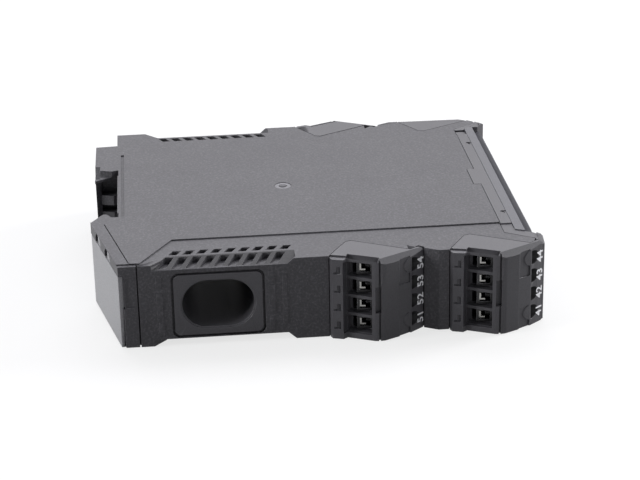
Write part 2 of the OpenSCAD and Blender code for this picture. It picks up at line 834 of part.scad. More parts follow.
module plug() {
  difference() {
    slab(0, width) polygon(plug_pts);
    // The head slopes down over the screws, the wire side has a small bevel
    top_face() slab(-1, panel_step) translate([-1, -6]) square([30, 17]);
    top_face() slab(-1, panel_step + 0.4) polygon([[-1, -3], [4.6, -3], [4.4, -0.4], [1.2, 0.6], [-1, 0.6]]);
    slope_cut([11.3, -4.2], [22.4, 1.9], 0.84, width - panel_step);
    edge_bevel([11.3, -4.4], [4.7, -1.3], 0.4, 0.4, width - panel_step);
    // Wire openings, and the chambers behind them
    pole_row() on_axis(entry) {
      translate([0.6, 0, 0]) cube([5.0, cell_w, cell_h], center = true);
      translate([4, 0, 0]) cube([6.5, cell_w - 1.2, cage_h + 0.1], center = true);
    }
    entry_field();
    pole_row() {
      on_screw() {
        cube([cage_w + 0.4, cage_l + 0.4, cage_h + 0.1], center = true);
        rotate([0, 90, 0]) cylinder(r = shank_r + 0.15, h = head_x + 1);
      }
      driver_hole();
    }
    boss_field(-1, pole_z(0) + 2.1, pole_z(0));
    boss_field(pole_z(poles - 1) - 4.6, width, pole_z(poles - 1));
    // Sockets for the header's pins
    pole_row() on_axis(mate) translate([-3.3, -1.3, -contact_h / 2]) cube([3.8, 4.2, contact_h]);
    // Coding notches in the edge strip
    pole_row() {
      box([2.0, -3, -1.0], [2.9, -1.4, 1.0]);
      box([1.2, -3, -1.0], [2.1, -1.15, -0.5]);
    }
    // Groove and pocket at the nose
    box([12.25, -6, -1], [12.75, -3.9, width + 1]);
    box([11.4, -6, mid_z - 3.6], [12.9, -3.2, mid_z + 3.6]);
    for (i = [0:3]) translate([13.9 + i * 0.62, -4.55 + i * 0.31, -1])
      cylinder(r = 0.14, h = width + 2, $fn = 16);
  }
}

// Clamp cage: a square ring round the wire, threaded for the screw
module cage() {
  on_screw() difference() {
    cube([cage_w, cage_l, cage_h], center = true);
    cube([cage_w - 2 * cage_t, cage_l + 2, cage_h - 2 * cage_t], center = true);
    rotate([0, 90, 0]) cylinder(r = shank_r, h = 8);
  }
}

module clamp_screw() {
  on_screw() rotate([0, 90, 0]) difference() {
    union() {
      translate([0, 0, 0.2]) cylinder(r = shank_r, h = head_x - 0.1);
      translate([0, 0, head_x]) cylinder(r = head_r, h = 1.9);
    }
    translate([0, 0, head_x + 1.9]) cube([0.6, 4, 1.8], center = true);
  }
}

// Contact: an angled tongue in the cage, and a fork for the header's pin
module contact() {
  tongue = -cage_w / 2 + cage_t + 0.05;
  difference() {
    union() {
      on_screw() {
        translate([tongue, -1.9, -0.9]) cube([0.4, 5.7, 1.8]);
        translate([tongue, -1.9, -0.9]) cube([1.45, 4.0, 0.4]);
      }
      on_axis(mate) translate([-2.6, -1.15, -contact_h / 2]) cube([2.1, 3.9, contact_h]);
    }
    on_axis(mate) translate([-1.0, 0, 0]) cube([3.8, pin_w, pin_w], center = true);
  }
}

// Legs of the pins stand side by side on the board
function leg(k) = 3.9 + k * 1.3;

module pin_legs_2d(x, margin) {
  translate([x, 0]) translate(mate) rotate(plug_a)
    for (k = [0:poles - 1]) translate([leg(k), 0]) square(pin_w - 0.2 + margin, center = true);
}

module header_pins() {
  on_axis(mate) for (k = [0:poles - 1]) {
    translate([-2.5, -pin_w / 2, pole_z(k) - pin_w / 2]) cube([leg(k) + 3.0, pin_w, pin_w]);
    translate([leg(k) - 0.4, -0.4, board_z - 0.15]) cube([0.8, 0.8, pole_z(k) - board_z + 0.15]);
  }
}

module header() {
  on_axis(mate) difference() {
    union() {
      box([0.1, -2.65, wall + 0.3], [1.75, 2.65, width - wall - 0.3]);
      box([1.7, -2.0, wall + 0.1], [2.7, 3.4, width - wall - 0.1]);
    }
    pole_row() cube([8, pin_w, pin_w], center = true);
  }
}

module bay_cover_shape() {
  difference() {
    union() {
      slab(0, width) difference() {
        polygon([[0.4, 0.1], [0.9, 1.1], [5.4, 8.65], [6.85, 9.2], [20.5, 1.75], [18.6, 0.5]]);
        polygon([[2.4, 1.6], [6.4, 7.4], [17.5, 1.9]]);
      }
      slab(0, wall) polygon([[2, 1.5], [6.4, 7.8], [18, 1.8]]);
      slab(width - wall, width) polygon([[2, 1.5], [6.4, 7.8], [18, 1.8]]);
    }
    top_face() slab(-1, panel_step) translate([-1, -4]) square([30, 15]);
  }
}

module bay_cover() {
  color(smooth) place() far_side() translate([bay_2, 0, 0]) bay_cover_shape();
}

module at_41() { place() translate([bay_2, 0, 0]) children(); }
module at_51() { place() translate([bay_1, 0, 0]) children(); }
module at_11() { place() far_side() translate([bay_1, 0, 0]) children(); }

module header_41() { color(black) at_41() header(); }
module header_pins_41() { color(metal) at_41() header_pins(); }
module plug_41() { color(smooth) at_41() plug(); }
module contacts_41() { color(metal) at_41() pole_row() contact(); }
module cages_41() { color(metal) at_41() pole_row() cage(); }
module screws_41() { color(metal) at_41() pole_row() clamp_screw(); }

module header_51() { color(black) at_51() header(); }
module header_pins_51() { color(metal) at_51() header_pins(); }
module plug_51() { color(smooth) at_51() plug(); }
module contacts_51() { color(metal) at_51() pole_row() contact(); }
module cages_51() { color(metal) at_51() pole_row() cage(); }
module screws_51() { color(metal) at_51() pole_row() clamp_screw(); }

module header_11() { color(black) at_11() header(); }
module header_pins_11() { color(metal) at_11() header_pins(); }
module plug_11() { color(smooth) at_11() plug(); }
module contacts_11() { color(metal) at_11() pole_row() contact(); }
module cages_11() { color(metal) at_11() pole_row() cage(); }
module screws_11() { color(metal) at_11() pole_row() clamp_screw(); }

housing();
front_frame();
front_cover();
cover_pin();
foot_plate();
window_sleeve();
window_cap();
magnetic_core();
coil_bobbin();
coil_winding();
hall_sensor();
sensor_board();
main_board();
transformer();
capacitors();
chips();
status_light();
dip_switch();
dip_slider_1();
dip_slider_2();
dip_slider_3();
dip_slider_4();
zero_trimmer();
zero_rotor();
span_trimmer();
span_rotor();
bay_cover();
header_41();
header_pins_41();
plug_41();
contacts_41();
cages_41();
screws_41();
header_51();
header_pins_51();
plug_51();
contacts_51();
cages_51();
screws_51();
header_11();
header_pins_11();
plug_11();
contacts_11();
cages_11();
screws_11();
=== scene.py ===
"""Current transducer for a mounting rail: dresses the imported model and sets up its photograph."""
import json
import math

import bmesh
import bpy
from bpy.props import FloatProperty, FloatVectorProperty, IntProperty, PointerProperty
from mathutils import Matrix, Vector
from mathutils.bvhtree import BVHTree
from mathutils.geometry import intersect_point_line


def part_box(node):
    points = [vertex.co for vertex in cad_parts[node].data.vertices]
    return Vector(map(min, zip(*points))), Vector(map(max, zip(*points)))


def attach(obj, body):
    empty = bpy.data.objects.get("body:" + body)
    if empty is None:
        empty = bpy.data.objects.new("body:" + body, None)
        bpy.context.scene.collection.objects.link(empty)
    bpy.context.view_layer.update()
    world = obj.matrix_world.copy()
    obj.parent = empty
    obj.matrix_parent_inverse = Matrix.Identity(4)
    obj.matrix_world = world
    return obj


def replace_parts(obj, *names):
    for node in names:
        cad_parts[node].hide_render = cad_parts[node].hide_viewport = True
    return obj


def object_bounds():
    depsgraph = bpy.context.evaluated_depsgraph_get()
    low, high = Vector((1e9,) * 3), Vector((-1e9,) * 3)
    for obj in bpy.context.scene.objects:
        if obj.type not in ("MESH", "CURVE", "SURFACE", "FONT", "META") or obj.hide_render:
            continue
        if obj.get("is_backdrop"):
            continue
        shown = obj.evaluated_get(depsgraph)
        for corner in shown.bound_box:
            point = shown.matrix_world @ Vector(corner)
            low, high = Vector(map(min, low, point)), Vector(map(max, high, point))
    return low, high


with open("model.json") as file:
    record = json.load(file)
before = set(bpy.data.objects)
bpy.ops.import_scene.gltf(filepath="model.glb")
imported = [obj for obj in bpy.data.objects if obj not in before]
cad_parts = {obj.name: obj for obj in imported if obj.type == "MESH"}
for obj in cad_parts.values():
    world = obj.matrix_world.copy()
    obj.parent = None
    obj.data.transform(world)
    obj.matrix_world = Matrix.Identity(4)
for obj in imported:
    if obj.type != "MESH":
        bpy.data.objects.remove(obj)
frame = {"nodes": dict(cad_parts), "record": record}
CAD_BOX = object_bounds()

bl_info = {
    "name": "Current transducer",
    "version": (1, 0, 0),
    "blender": (4, 5, 0),
    "location": "3D View > Sidebar > Transducer",
    "description": "Finishes and fine pieces of a rail-mounted current transducer",
    "category": "Object",
}

MM = 0.001
NODES = frame["nodes"]
SLOTS = {row["node"]: row["material_slot"] for row in frame["record"]["subparts"]}
RAIL_SIDE, NEAR_FACE = CAD_BOX[0].x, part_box("window_sleeve")[0].y
PLUGS = {"41": 1, "51": 1, "11": -1}  # plug: the side of the housing it sits on
POLES, POLE_PITCH = 4, 5.0
PLUG_START = 0.4  # mm from the start of a bay to the plug's edge strip


def srgb(r, g, b):
    """Linear colour of a written 0 to 255 colour."""
    return tuple(((v / 255) / 12.92 if v <= 10 else ((v / 255 + 0.055) / 1.055) ** 2.4) for v in (r, g, b))


def colour_prop(name, description, rgb):
    return FloatVectorProperty(name=name, description=description, subtype="COLOR", size=3, min=0, max=1,
                               default=srgb(*rgb))


def length_prop(name, description, mm, low, high):
    return FloatProperty(name=name, description=description, subtype="DISTANCE", unit="LENGTH",
                         default=mm * MM, min=low * MM, max=high * MM, precision=5)


class TransducerSizes(bpy.types.PropertyGroup):
    """Sizes of the fine pieces"""
    edge: length_prop("Edge radius", "Rounding of the mouldings' edges", 0.16, 0.02, 0.4)
    number_h: length_prop("Number height", "Height of the pole numbers", 2.25, 1.0, 2.6)
    wire_d: length_prop("Wire diameter", "Diameter of the winding's wire", 0.32, 0.2, 0.6)
    turns: IntProperty(name="Turns", description="Visible turns of the winding", default=30, min=8, max=40)
    thread_pitch: length_prop("Thread pitch", "Pitch of the clamp screws", 0.5, 0.3, 0.8)


class TransducerColours(bpy.types.PropertyGroup):
    """Colours of the finishes"""
    housing: colour_prop("Housing", "Grained plastic of the housing", (64, 63, 67))
    smooth: colour_prop("Plugs and frame", "Smooth plastic of the plugs, the frame and the bezel", (75, 74, 78))
    cover: colour_prop("Front cover", "Plastic of the front cover", (84, 84, 89))
    plate: colour_prop("Foot plate", "Light plastic of the foot plate", (150, 150, 153))
    numbers: colour_prop("Numbers", "Print of the pole numbers", (250, 250, 253))
    board: colour_prop("Boards", "Solder mask of the boards", (22, 74, 44))


def sizes():
    return bpy.context.scene.transducer_sizes


def colours():
    return bpy.context.scene.transducer_colours


def spot(x, y, z):
    """Point given in mm from the rail side, the near face and the lower large side."""
    return Vector((RAIL_SIDE + x * MM, NEAR_FACE + y * MM, z * MM))


def on_bay(plug, x, y, z):
    """Point in mm from the start of a plug's bay on its own side of the housing."""
    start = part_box(f"plug_{plug}")[0].x - PLUG_START * MM
    return Vector((start + x * MM, PLUGS[plug] * (NEAR_FACE + y * MM), z * MM))


def pole_height(k):
    """Height of a pole's centre in mm above the lower large side."""
    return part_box("housing")[1].z / MM / 2 + (k - (POLES - 1) / 2) * POLE_PITCH


# Shader groups

def new_group(name, inputs, outputs):
    """Shader group, its input node and its output node, from rows of label, socket type and, for inputs, default."""
    tree = bpy.data.node_groups.new(name, "ShaderNodeTree")
    for label, kind, default in inputs:
        tree.interface.new_socket(label, in_out="INPUT", socket_type=kind).default_value = default
    for label, kind in outputs:
        tree.interface.new_socket(label, in_out="OUTPUT", socket_type=kind)
    return tree, tree.nodes.new("NodeGroupInput"), tree.nodes.new("NodeGroupOutput")


def add(tree, kind, inputs=None, **settings):
    """New node; inputs maps a socket's name or number to a value or another socket."""
    node = tree.nodes.new(kind)
    for key, value in settings.items():
        setattr(node, key, value)
    for key, value in (inputs or {}).items():
        if isinstance(value, bpy.types.NodeSocket):
            tree.links.new(value, node.inputs[key])
        else:
            node.inputs[key].default_value = value
    return node


def noise(tree, vector, scale, detail=2.0, rough=0.5):
    return add(tree, "ShaderNodeTexNoise", {"Vector": vector, "Scale": scale, "Detail": detail, "Roughness": rough})


def ramp(tree, value, low, high, out_low=0.0, out_high=1.0):
    """Value from low to high mapped to a new range, clamped."""
    return add(tree, "ShaderNodeMapRange", {0: value, 1: low, 2: high, 3: out_low, 4: out_high}).outputs[0]


def math_node(tree, operation, a, b=0.0):
    return add(tree, "ShaderNodeMath", {0: a, 1: b}, operation=operation).outputs[0]


def grain_group():
    """Spark-eroded grain: pits of one size with finer ones between, and masks of the crests and of the pits, which the
    plastics light and darken as painted glints and painted shade.
    """
    tree, gi, go = new_group("grain", [("Scale", "NodeSocketFloat", 2600.0), ("Depth", "NodeSocketFloat", 0.3),
                                       ("Distance", "NodeSocketFloat", 0.00004)],
                             [("Normal", "NodeSocketVector"), ("Crest glint", "NodeSocketFloat"),
                              ("Pit", "NodeSocketFloat")])
    pos = add(tree, "ShaderNodeTexCoord").outputs["Object"]
    coarse = noise(tree, pos, gi.outputs["Scale"], 3.0, 0.6)
    cells = add(tree, "ShaderNodeTexVoronoi", {"Vector": pos, "Scale": gi.outputs["Scale"]}, feature="SMOOTH_F1")
    height = math_node(tree, "ADD", coarse.outputs[0], math_node(tree, "MULTIPLY", cells.outputs[0], 0.45))
    bump = add(tree, "ShaderNodeBump", {"Strength": gi.outputs["Depth"], "Distance": gi.outputs["Distance"],
                                        "Height": height})
    tree.links.new(bump.outputs[0], go.inputs["Normal"])
    tree.links.new(ramp(tree, coarse.outputs[0], 0.51, 0.68), go.inputs["Crest glint"])
    tree.links.new(ramp(tree, coarse.outputs[0], 0.48, 0.34), go.inputs["Pit"])
    return tree


def edge_wear_and_glint_group():
    """Mask along outer edges, broken up by noise, for wear and, on the dark clamp metal, painted glints; and a cloudy
    mask for handling marks.
    """
    tree, gi, go = new_group("edge_wear_and_glint", [("Width", "NodeSocketFloat", 0.0004), ("Break up", "NodeSocketFloat", 420.0)],
                             [("Edge", "NodeSocketFloat"), ("Haze", "NodeSocketFloat")])
    pos = add(tree, "ShaderNodeTexCoord").outputs["Object"]
    rounded = add(tree, "ShaderNodeBevel", {"Radius": gi.outputs["Width"]}, samples=4)
    geo = add(tree, "ShaderNodeNewGeometry")
    dot = add(tree, "ShaderNodeVectorMath", {0: rounded.outputs[0], 1: geo.outputs["Normal"]}, operation="DOT_PRODUCT")
    edge = ramp(tree, dot.outputs["Value"], 0.995, 0.86)
    edge_patches = ramp(tree, noise(tree, pos, gi.outputs["Break up"], 4.0, 0.65).outputs[0], 0.34, 0.66)
    tree.links.new(math_node(tree, "MULTIPLY", edge, edge_patches), go.inputs["Edge"])
    haze = ramp(tree, noise(tree, pos, 55.0, 5.0, 0.6).outputs[0], 0.35, 0.7)
    tree.links.new(haze, go.inputs["Haze"])
    return tree


def scratch_group():
    """Fine brushed or drawn lines along one axis, as on plated and rolled metal."""
    tree, gi, go = new_group("lines", [("Stretch", "NodeSocketVector", (1.0, 1.0, 1.0)),
                                       ("Depth", "NodeSocketFloat", 0.2)],
                             [("Normal", "NodeSocketVector"), ("Line", "NodeSocketFloat")])
    pos = add(tree, "ShaderNodeTexCoord").outputs["Object"]
    mapped = add(tree, "ShaderNodeVectorMath", {0: pos, 1: gi.outputs["Stretch"]}, operation="MULTIPLY")
    line = noise(tree, mapped.outputs[0], 1.0, 4.0, 0.7)
    bump = add(tree, "ShaderNodeBump", {"Strength": gi.outputs["Depth"], "Distance": 0.00002,
                                        "Height": line.outputs[0]})
    tree.links.new(bump.outputs[0], go.inputs["Normal"])
    tree.links.new(line.outputs[0], go.inputs["Line"])
    return tree


GROUPS = {"grain": grain_group, "edge_wear_and_glint": edge_wear_and_glint_group, "lines": scratch_group}


def group(tree, key, **inputs):
    """Places a shader group, built at its first use, with its own values."""
    node = add(tree, "ShaderNodeGroup", node_tree=bpy.data.node_groups.get(key) or GROUPS[key]())
    for label, value in inputs.items():
        node.inputs[label.replace("_", " ")].default_value = value
    return node


def mixed(tree, mask, a, b):
    """Colour a where the mask is 0, b where it is 1."""
    node = add(tree, "ShaderNodeMix", data_type="RGBA")
    for key, value in ((0, mask), (6, a), (7, b)):
        if isinstance(value, bpy.types.NodeSocket):
            tree.links.new(value, node.inputs[key])
        else:
            node.inputs[key].default_value = (*value, 1.0) if key else value
    return node.outputs[2]


def scaled(rgb, factor):
    return tuple(min(1.0, c * factor) for c in rgb)


def new_material(name, **fixed):
    """Material, its tree and its shader, with the shader's even values."""
    mat = bpy.data.materials.new(name)
    mat.use_nodes = True
    tree = mat.node_tree
    shader = tree.nodes["Principled BSDF"]
    for label, value in fixed.items():
        shader.inputs[label.replace("_", " ")].default_value = value
    return mat, tree, shader


def plastic(name, rgb, rough, grain, depth, crest_glint, edge_patches, distance=0.00004):
    """Moulded plastic: grain, painted glints on its crests and painted shade in its pits, paler edges and slight haze.
    """
    mat, tree, shader = new_material(name)
    g = group(tree, "grain", Scale=grain, Depth=depth, Distance=distance)
    w = group(tree, "edge_wear_and_glint")
    # Painted glints: the grain's crests made lighter; painted shade on the next line: its pits made darker.
    base = mixed(tree, math_node(tree, "MULTIPLY", g.outputs["Crest glint"], crest_glint), rgb, scaled(rgb, 2.4))
    base = mixed(tree, math_node(tree, "MULTIPLY", g.outputs["Pit"], 0.5), base, scaled(rgb, 0.55))
    base = mixed(tree, math_node(tree, "MULTIPLY", w.outputs["Haze"], 0.2), base, scaled(rgb, 1.12))
    base = mixed(tree, math_node(tree, "MULTIPLY", w.outputs["Edge"], edge_patches), base, scaled(rgb, 2.2))
    tree.links.new(base, shader.inputs["Base Color"])
    tree.links.new(ramp(tree, w.outputs["Haze"], 0.0, 1.0, rough - 0.015, rough + 0.025), shader.inputs["Roughness"])
    tree.links.new(g.outputs["Normal"], shader.inputs["Normal"])
    return mat


def metal(name, rgb, rough, stretch, tarnish=0.4, bright=1.25):
    """Plated or drawn metal with fine lines, cloudy tarnish and brighter edges: wear, and painted glints where they
    are made much brighter.
    """
    mat, tree, shader = new_material(name, Metallic=1.0)
    n = group(tree, "lines", Stretch=stretch)
    w = group(tree, "edge_wear_and_glint", Width=0.00015, Break_up=1500.0)
    base = mixed(tree, math_node(tree, "MULTIPLY", w.outputs["Haze"], tarnish), rgb, scaled(rgb, 0.6))
    # Lighter edges: wear, and painted glints where bright is large.
    base = mixed(tree, w.outputs["Edge"], base, scaled(rgb, bright))
    tree.links.new(base, shader.inputs["Base Color"])
    tree.links.new(ramp(tree, n.outputs["Line"], 0.3, 0.7, rough - 0.08, rough + 0.14), shader.inputs["Roughness"])
    tree.links.new(n.outputs["Normal"], shader.inputs["Normal"])
    return mat


def glossy_print(name, rgb):
    """Screen print: even colour with a slightly starved edge and pinholes."""
    mat, tree, shader = new_material(name)
    g = group(tree, "grain", Scale=3800.0, Depth=0.15)
    base = mixed(tree, math_node(tree, "MULTIPLY", g.outputs["Pit"], 0.4), rgb, scaled(rgb, 0.62))
    tree.links.new(base, shader.inputs["Base Color"])
    tree.links.new(ramp(tree, g.outputs["Pit"], 0.0, 1.0, 0.42, 0.6), shader.inputs["Roughness"])
    tree.links.new(g.outputs["Normal"], shader.inputs["Normal"])
    return mat


def board_material(name, rgb):
    """Solder mask over a grid of tracks, with tinned pads."""
    mat, tree, shader = new_material(name, Coat_Weight=0.25, Coat_Roughness=0.15)
    pos = add(tree, "ShaderNodeTexCoord").outputs["Object"]
    tracks = add(tree, "ShaderNodeTexBrick", {"Vector": pos, "Scale": 190.0, "Mortar Size": 0.09, "Bias": -0.2},
                 offset=0.37)
    track = ramp(tree, tracks.outputs["Fac"], 0.2, 0.8)
    vias = add(tree, "ShaderNodeTexVoronoi", {"Vector": pos, "Scale": 330.0}, feature="F1")
    via = ramp(tree, vias.outputs[0], 0.17, 0.12)
    haze = noise(tree, pos, 120.0, 4.0).outputs[0]
    base = mixed(tree, track, scaled(rgb, 0.8), scaled(rgb, 1.7))
    base = mixed(tree, via, base, (0.55, 0.56, 0.55))
    base = mixed(tree, ramp(tree, haze, 0.4, 0.8, 0.0, 0.3), base, scaled(rgb, 0.6))
    tree.links.new(base, shader.inputs["Base Color"])
    tree.links.new(ramp(tree, haze, 0.3, 0.7, 0.3, 0.5), shader.inputs["Roughness"])
    tree.links.new(via, shader.inputs["Metallic"])
    bump = add(tree, "ShaderNodeBump", {"Strength": 0.5, "Distance": 0.00004, "Height": track})
    tree.links.new(bump.outputs[0], shader.inputs["Normal"])
    return mat


def lacquered_wire(name, rgb):
    """Enamelled copper: warm metal under a thin amber coat."""
    mat, tree, shader = new_material(name, Metallic=0.85, Coat_Weight=0.6, Coat_Roughness=0.12,
                                     Coat_Tint=(1.0, 0.75, 0.5, 1.0))
    n = group(tree, "lines", Stretch=(2500.0, 2500.0, 300.0))
    base = mixed(tree, n.outputs["Line"], rgb, scaled(rgb, 0.5))
    tree.links.new(base, shader.inputs["Base Color"])
    tree.links.new(ramp(tree, n.outputs["Line"], 0.3, 0.7, 0.22, 0.4), shader.inputs["Roughness"])
    tree.links.new(n.outputs["Normal"], shader.inputs["Normal"])
    return mat


def lens(name, rgb):
    """Cloudy tinted resin of the status light."""
    mat, tree, shader = new_material(name, Transmission_Weight=0.35, IOR=1.5, Coat_Weight=0.5)
    pos = add(tree, "ShaderNodeTexCoord").outputs["Object"]
    cloud = noise(tree, pos, 900.0, 3.0).outputs[0]
    tree.links.new(mixed(tree, cloud, rgb, scaled(rgb, 1.7)), shader.inputs["Base Color"])
    tree.links.new(ramp(tree, cloud, 0.3, 0.7, 0.12, 0.24), shader.inputs["Roughness"])
    return mat


def sheet_stack(name, rgb):
    """Stacked or sintered core: fine layers and mill scale."""
    mat, tree, shader = new_material(name, Metallic=0.6)
    n = group(tree, "lines", Stretch=(300.0, 4200.0, 300.0), Depth=0.5)
    w = group(tree, "edge_wear_and_glint", Width=0.0003)
    base = mixed(tree, n.outputs["Line"], rgb, scaled(rgb, 1.8))
    base = mixed(tree, w.outputs["Edge"], base, scaled(rgb, 3.0))
    tree.links.new(base, shader.inputs["Base Color"])
    tree.links.new(ramp(tree, w.outputs["Haze"], 0.0, 1.0, 0.45, 0.62), shader.inputs["Roughness"])
    tree.links.new(n.outputs["Normal"], shader.inputs["Normal"])
    return mat


def build_finishes():
    """Every finish by its slot's name, and those that only mark part of a piece."""
    c = colours()
    return {
        "grained_plastic": plastic("Grained plastic", tuple(c.housing), 0.5, 1700.0, 0.35, 0.6, 0.4, 0.00007),
        "smooth_plastic": plastic("Smooth plastic", tuple(c.smooth), 0.42, 3600.0, 0.16, 0.08, 0.35),
        # Painted shade: near black on the walls of the bores and on the mould mark's floor, and the housing's colour
        # darkened on the vent slopes.
        "recess_shade": plastic("Painted shade of the bores and the mould mark", srgb(24, 24, 26), 0.6, 3600.0, 0.16, 0.0, 0.0),
        "vent_slope_shade": plastic("Grained plastic with painted shade on the vent slopes", scaled(c.housing, 0.42), 0.6, 1700.0, 0.35, 0.5, 0.4,
                                0.00007),
        # Painted sheen: the smooth plastic made lighter for the polished ring of the mould mark.
        "ring_sheen": plastic("Polished plastic with painted sheen", scaled(c.smooth, 2.2), 0.3, 3600.0, 0.08, 0.08, 0.1),
        "cover_plastic": plastic("Cover plastic", tuple(c.cover), 0.45, 3000.0, 0.25, 0.12, 0.4),
        "foot_plate_plastic": plastic("Foot plate plastic", tuple(c.plate), 0.5, 3000.0, 0.25, 0.1, 0.3),
        "steel": metal("Drawn steel", (0.62, 0.62, 0.64), 0.25, (900.0, 900.0, 15000.0)),
        # Painted shade and glints: the clamp metal darkened to the shade of its deep cells, with its edges seven times
        # lighter as painted glints.
        "zinc_steel": metal("Zinc-plated steel with painted shade and glints", (0.09, 0.09, 0.092), 0.42, (5000.0, 5000.0, 900.0), 0.4, 7.0),
        "tinned_brass": metal("Tinned brass", (0.66, 0.65, 0.62), 0.26, (700.0, 9000.0, 9000.0), 0.3),
        "black_plastic": plastic("Black plastic", srgb(34, 34, 36), 0.45, 2600.0, 0.25, 0.1, 0.5),
        "copper_wire": lacquered_wire("Enamelled wire", (0.72, 0.3, 0.12)),
        "circuit_board": board_material("Circuit board", tuple(c.board)),
        "core_sheet": sheet_stack("Core sheet", (0.12, 0.12, 0.13)),
        "ferrite": sheet_stack("Ferrite", (0.05, 0.048, 0.046)),
        "can_sleeve": plastic("Capacitor sleeve", srgb(34, 38, 52), 0.3, 1500.0, 0.1, 0.05, 0.5),
        "red_plastic": lens("Light resin", srgb(168, 34, 26)),
        "blue_plastic": plastic("Blue plastic", srgb(38, 72, 130), 0.4, 2400.0, 0.2, 0.1, 0.5),
        "white_plastic": plastic("White plastic", srgb(218, 218, 212), 0.4, 2400.0, 0.2, 0.05, 0.1),
        "print": glossy_print("Number print", tuple(c.numbers)),
        "solder": metal("Solder", (0.7, 0.7, 0.71), 0.2, (2500.0, 2500.0, 2500.0), 0.6),
        "ceramic": plastic("Ceramic", srgb(150, 122, 92), 0.4, 3000.0, 0.15, 0.1, 0.3),
    }


FINISH = {}


def dress(obj, key):
    """Puts a finish in the first slot of a node's object."""
    if not obj.data.materials:
        obj.data.materials.append(None)
    obj.material_slots[0].link = "OBJECT"
    obj.material_slots[0].material = FINISH[key]


# Mesh helpers

def new_object(name, data):
    """New object in the scene, at the origin."""
    obj = bpy.data.objects.new(name, data)
    bpy.context.scene.collection.objects.link(obj)
    return obj


def settle(obj, body, slot, *finishes):
    """Puts a piece on its body, and gives it its finishes where no tree has. The slot is not used."""
    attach(obj, body)
    for key in finishes:
        obj.data.materials.append(FINISH[key])


def frozen(obj):
    """Applies the object's modifiers, so that it holds a plain mesh."""
    graph = bpy.context.evaluated_depsgraph_get()
    mesh = bpy.data.meshes.new_from_object(obj.evaluated_get(graph), preserve_all_data_layers=True, depsgraph=graph)
    obj.modifiers.clear()
    old, obj.data = obj.data, mesh
    mesh.name = obj.name
    bpy.data.meshes.remove(old)
    return obj


def to_segment(p, a, b):
    """Distance of a point from the line between two others."""
    q, t = intersect_point_line(p, a, b)
    return (p - (a if t < 0 else b if t > 1 else q)).length


def clearance(face, edge):
    """Free width of a face beside one of its edges."""
    a, b = (v.co for v in edge.verts)
    along = (b - a).normalized()
    free = max(((v.co - a) - along * (v.co - a).dot(along)).length for v in face.verts)
    for other in face.edges:
        if not set(other.verts) & set(edge.verts):
            c, d = (v.co for v in other.verts)
            free = min(free, to_segment(a, c, d), to_segment(b, c, d), to_segment(c, a, b), to_segment(d, a, b))
    return free


# Rounding, in m: edges that turn by less, are shorter or have less free width beside them stay sharp. A rounding
# takes a share of the free width, and gives way in a few tries where it spoils a face, with none left at the last.
SHARP = math.radians(28)
SHORTEST, NARROWEST, ROOM_SHARE = 0.00004, 0.00012, 0.42
TRIES, GENTLE_TRIES, GIVE_WAY = 8, 5, 0.6
SKIN_SHARE = 0.4  # of the radius: how far a corner may leave the sharp surface


def spoilt(obj, normals, skin, limit):
    """Faces of the sharp moulding that the rounding makes cross themselves, turn over or leave the surface."""
    ready = obj.evaluated_get(bpy.context.evaluated_depsgraph_get())
    mesh = ready.to_mesh()
    mesh.calc_loop_triangles()
    area = [0.0] * len(mesh.polygons)
    for t in mesh.loop_triangles:
        area[t.polygon_index] += t.area
    origin = mesh.attributes["origin"].data
    stray = {v.index for v in mesh.vertices if skin.find_nearest(v.co)[3] > limit}
    found = set()
    for p in mesh.polygons:
        first = origin[p.index].value
        if (area[p.index] > p.area * 1.01 + 1e-9 or p.normal.dot(normals[first]) < -0.3
                or not stray.isdisjoint(p.vertices)):
            found.add(first)
    ready.to_mesh_clear()
    return found


def round_edges(node, name, radius):
    """A copy of a moulding with its outer edges rounded, narrower where the walls are thin."""
    mesh = NODES[node].data.copy()
    mesh.materials.clear()
    bm = bmesh.new()
    bm.from_mesh(mesh)
    bmesh.ops.remove_doubles(bm, verts=bm.verts, dist=0.002 * MM)
    bmesh.ops.dissolve_limit(bm, angle_limit=math.radians(0.6), verts=bm.verts, edges=bm.edges)
    weight = bm.edges.layers.float.get("bevel_weight_edge") or bm.edges.layers.float.new("bevel_weight_edge")
    for e in bm.edges:
        e.smooth = True
        if len(e.link_faces) != 2:
            continue
        turn = e.calc_face_angle_signed(0.0)
        if abs(turn) < SHARP:
            continue
        room = min(clearance(f, e) for f in e.link_faces)
        if turn > 0 and e.calc_length() > SHORTEST and room > NARROWEST:
            e[weight] = min(1.0, ROOM_SHARE * room / radius)
        else:
            e.smooth = False
    bmesh.ops.connect_verts_concave(bm, faces=bm.faces)
    origin = bm.faces.layers.int.new("origin")
    bm.faces.index_update()
    for f in bm.faces:
        f.smooth, f[origin] = True, f.index
    skin = BVHTree.FromBMesh(bm)
    bm.to_mesh(mesh)
    bm.free()
    obj = new_object(name, mesh)
    bevel = obj.modifiers.new("Round", "BEVEL")
    bevel.limit_method = "WEIGHT"
    bevel.width = radius
    bevel.segments = 2
    bevel.use_clamp_overlap = False
    bevel.loop_slide = False
    bevel.miter_outer = "MITER_ARC"
    normals = [p.normal.copy() for p in mesh.polygons]
    weights = mesh.attributes["bevel_weight_edge"].data
    for attempt in range(TRIES):
        touched = {v for i in spoilt(obj, normals, skin, radius * SKIN_SHARE) for v in mesh.polygons[i].vertices}
        for e in mesh.edges:
            if weights[e.index].value and not touched.isdisjoint(e.vertices):
                weights[e.index].value *= GIVE_WAY if attempt < GENTLE_TRIES else 0.0
                e.use_edge_sharp = weights[e.index].value == 0
        mesh.update()
    shade = obj.modifiers.new("Shade", "WEIGHTED_NORMAL")
    shade.keep_sharp = True
    shade.weight = 100
    frozen(obj)
    obj.data.attributes.remove(obj.data.attributes["origin"])
    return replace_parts(obj, node)


# Geometry Nodes for what repeats

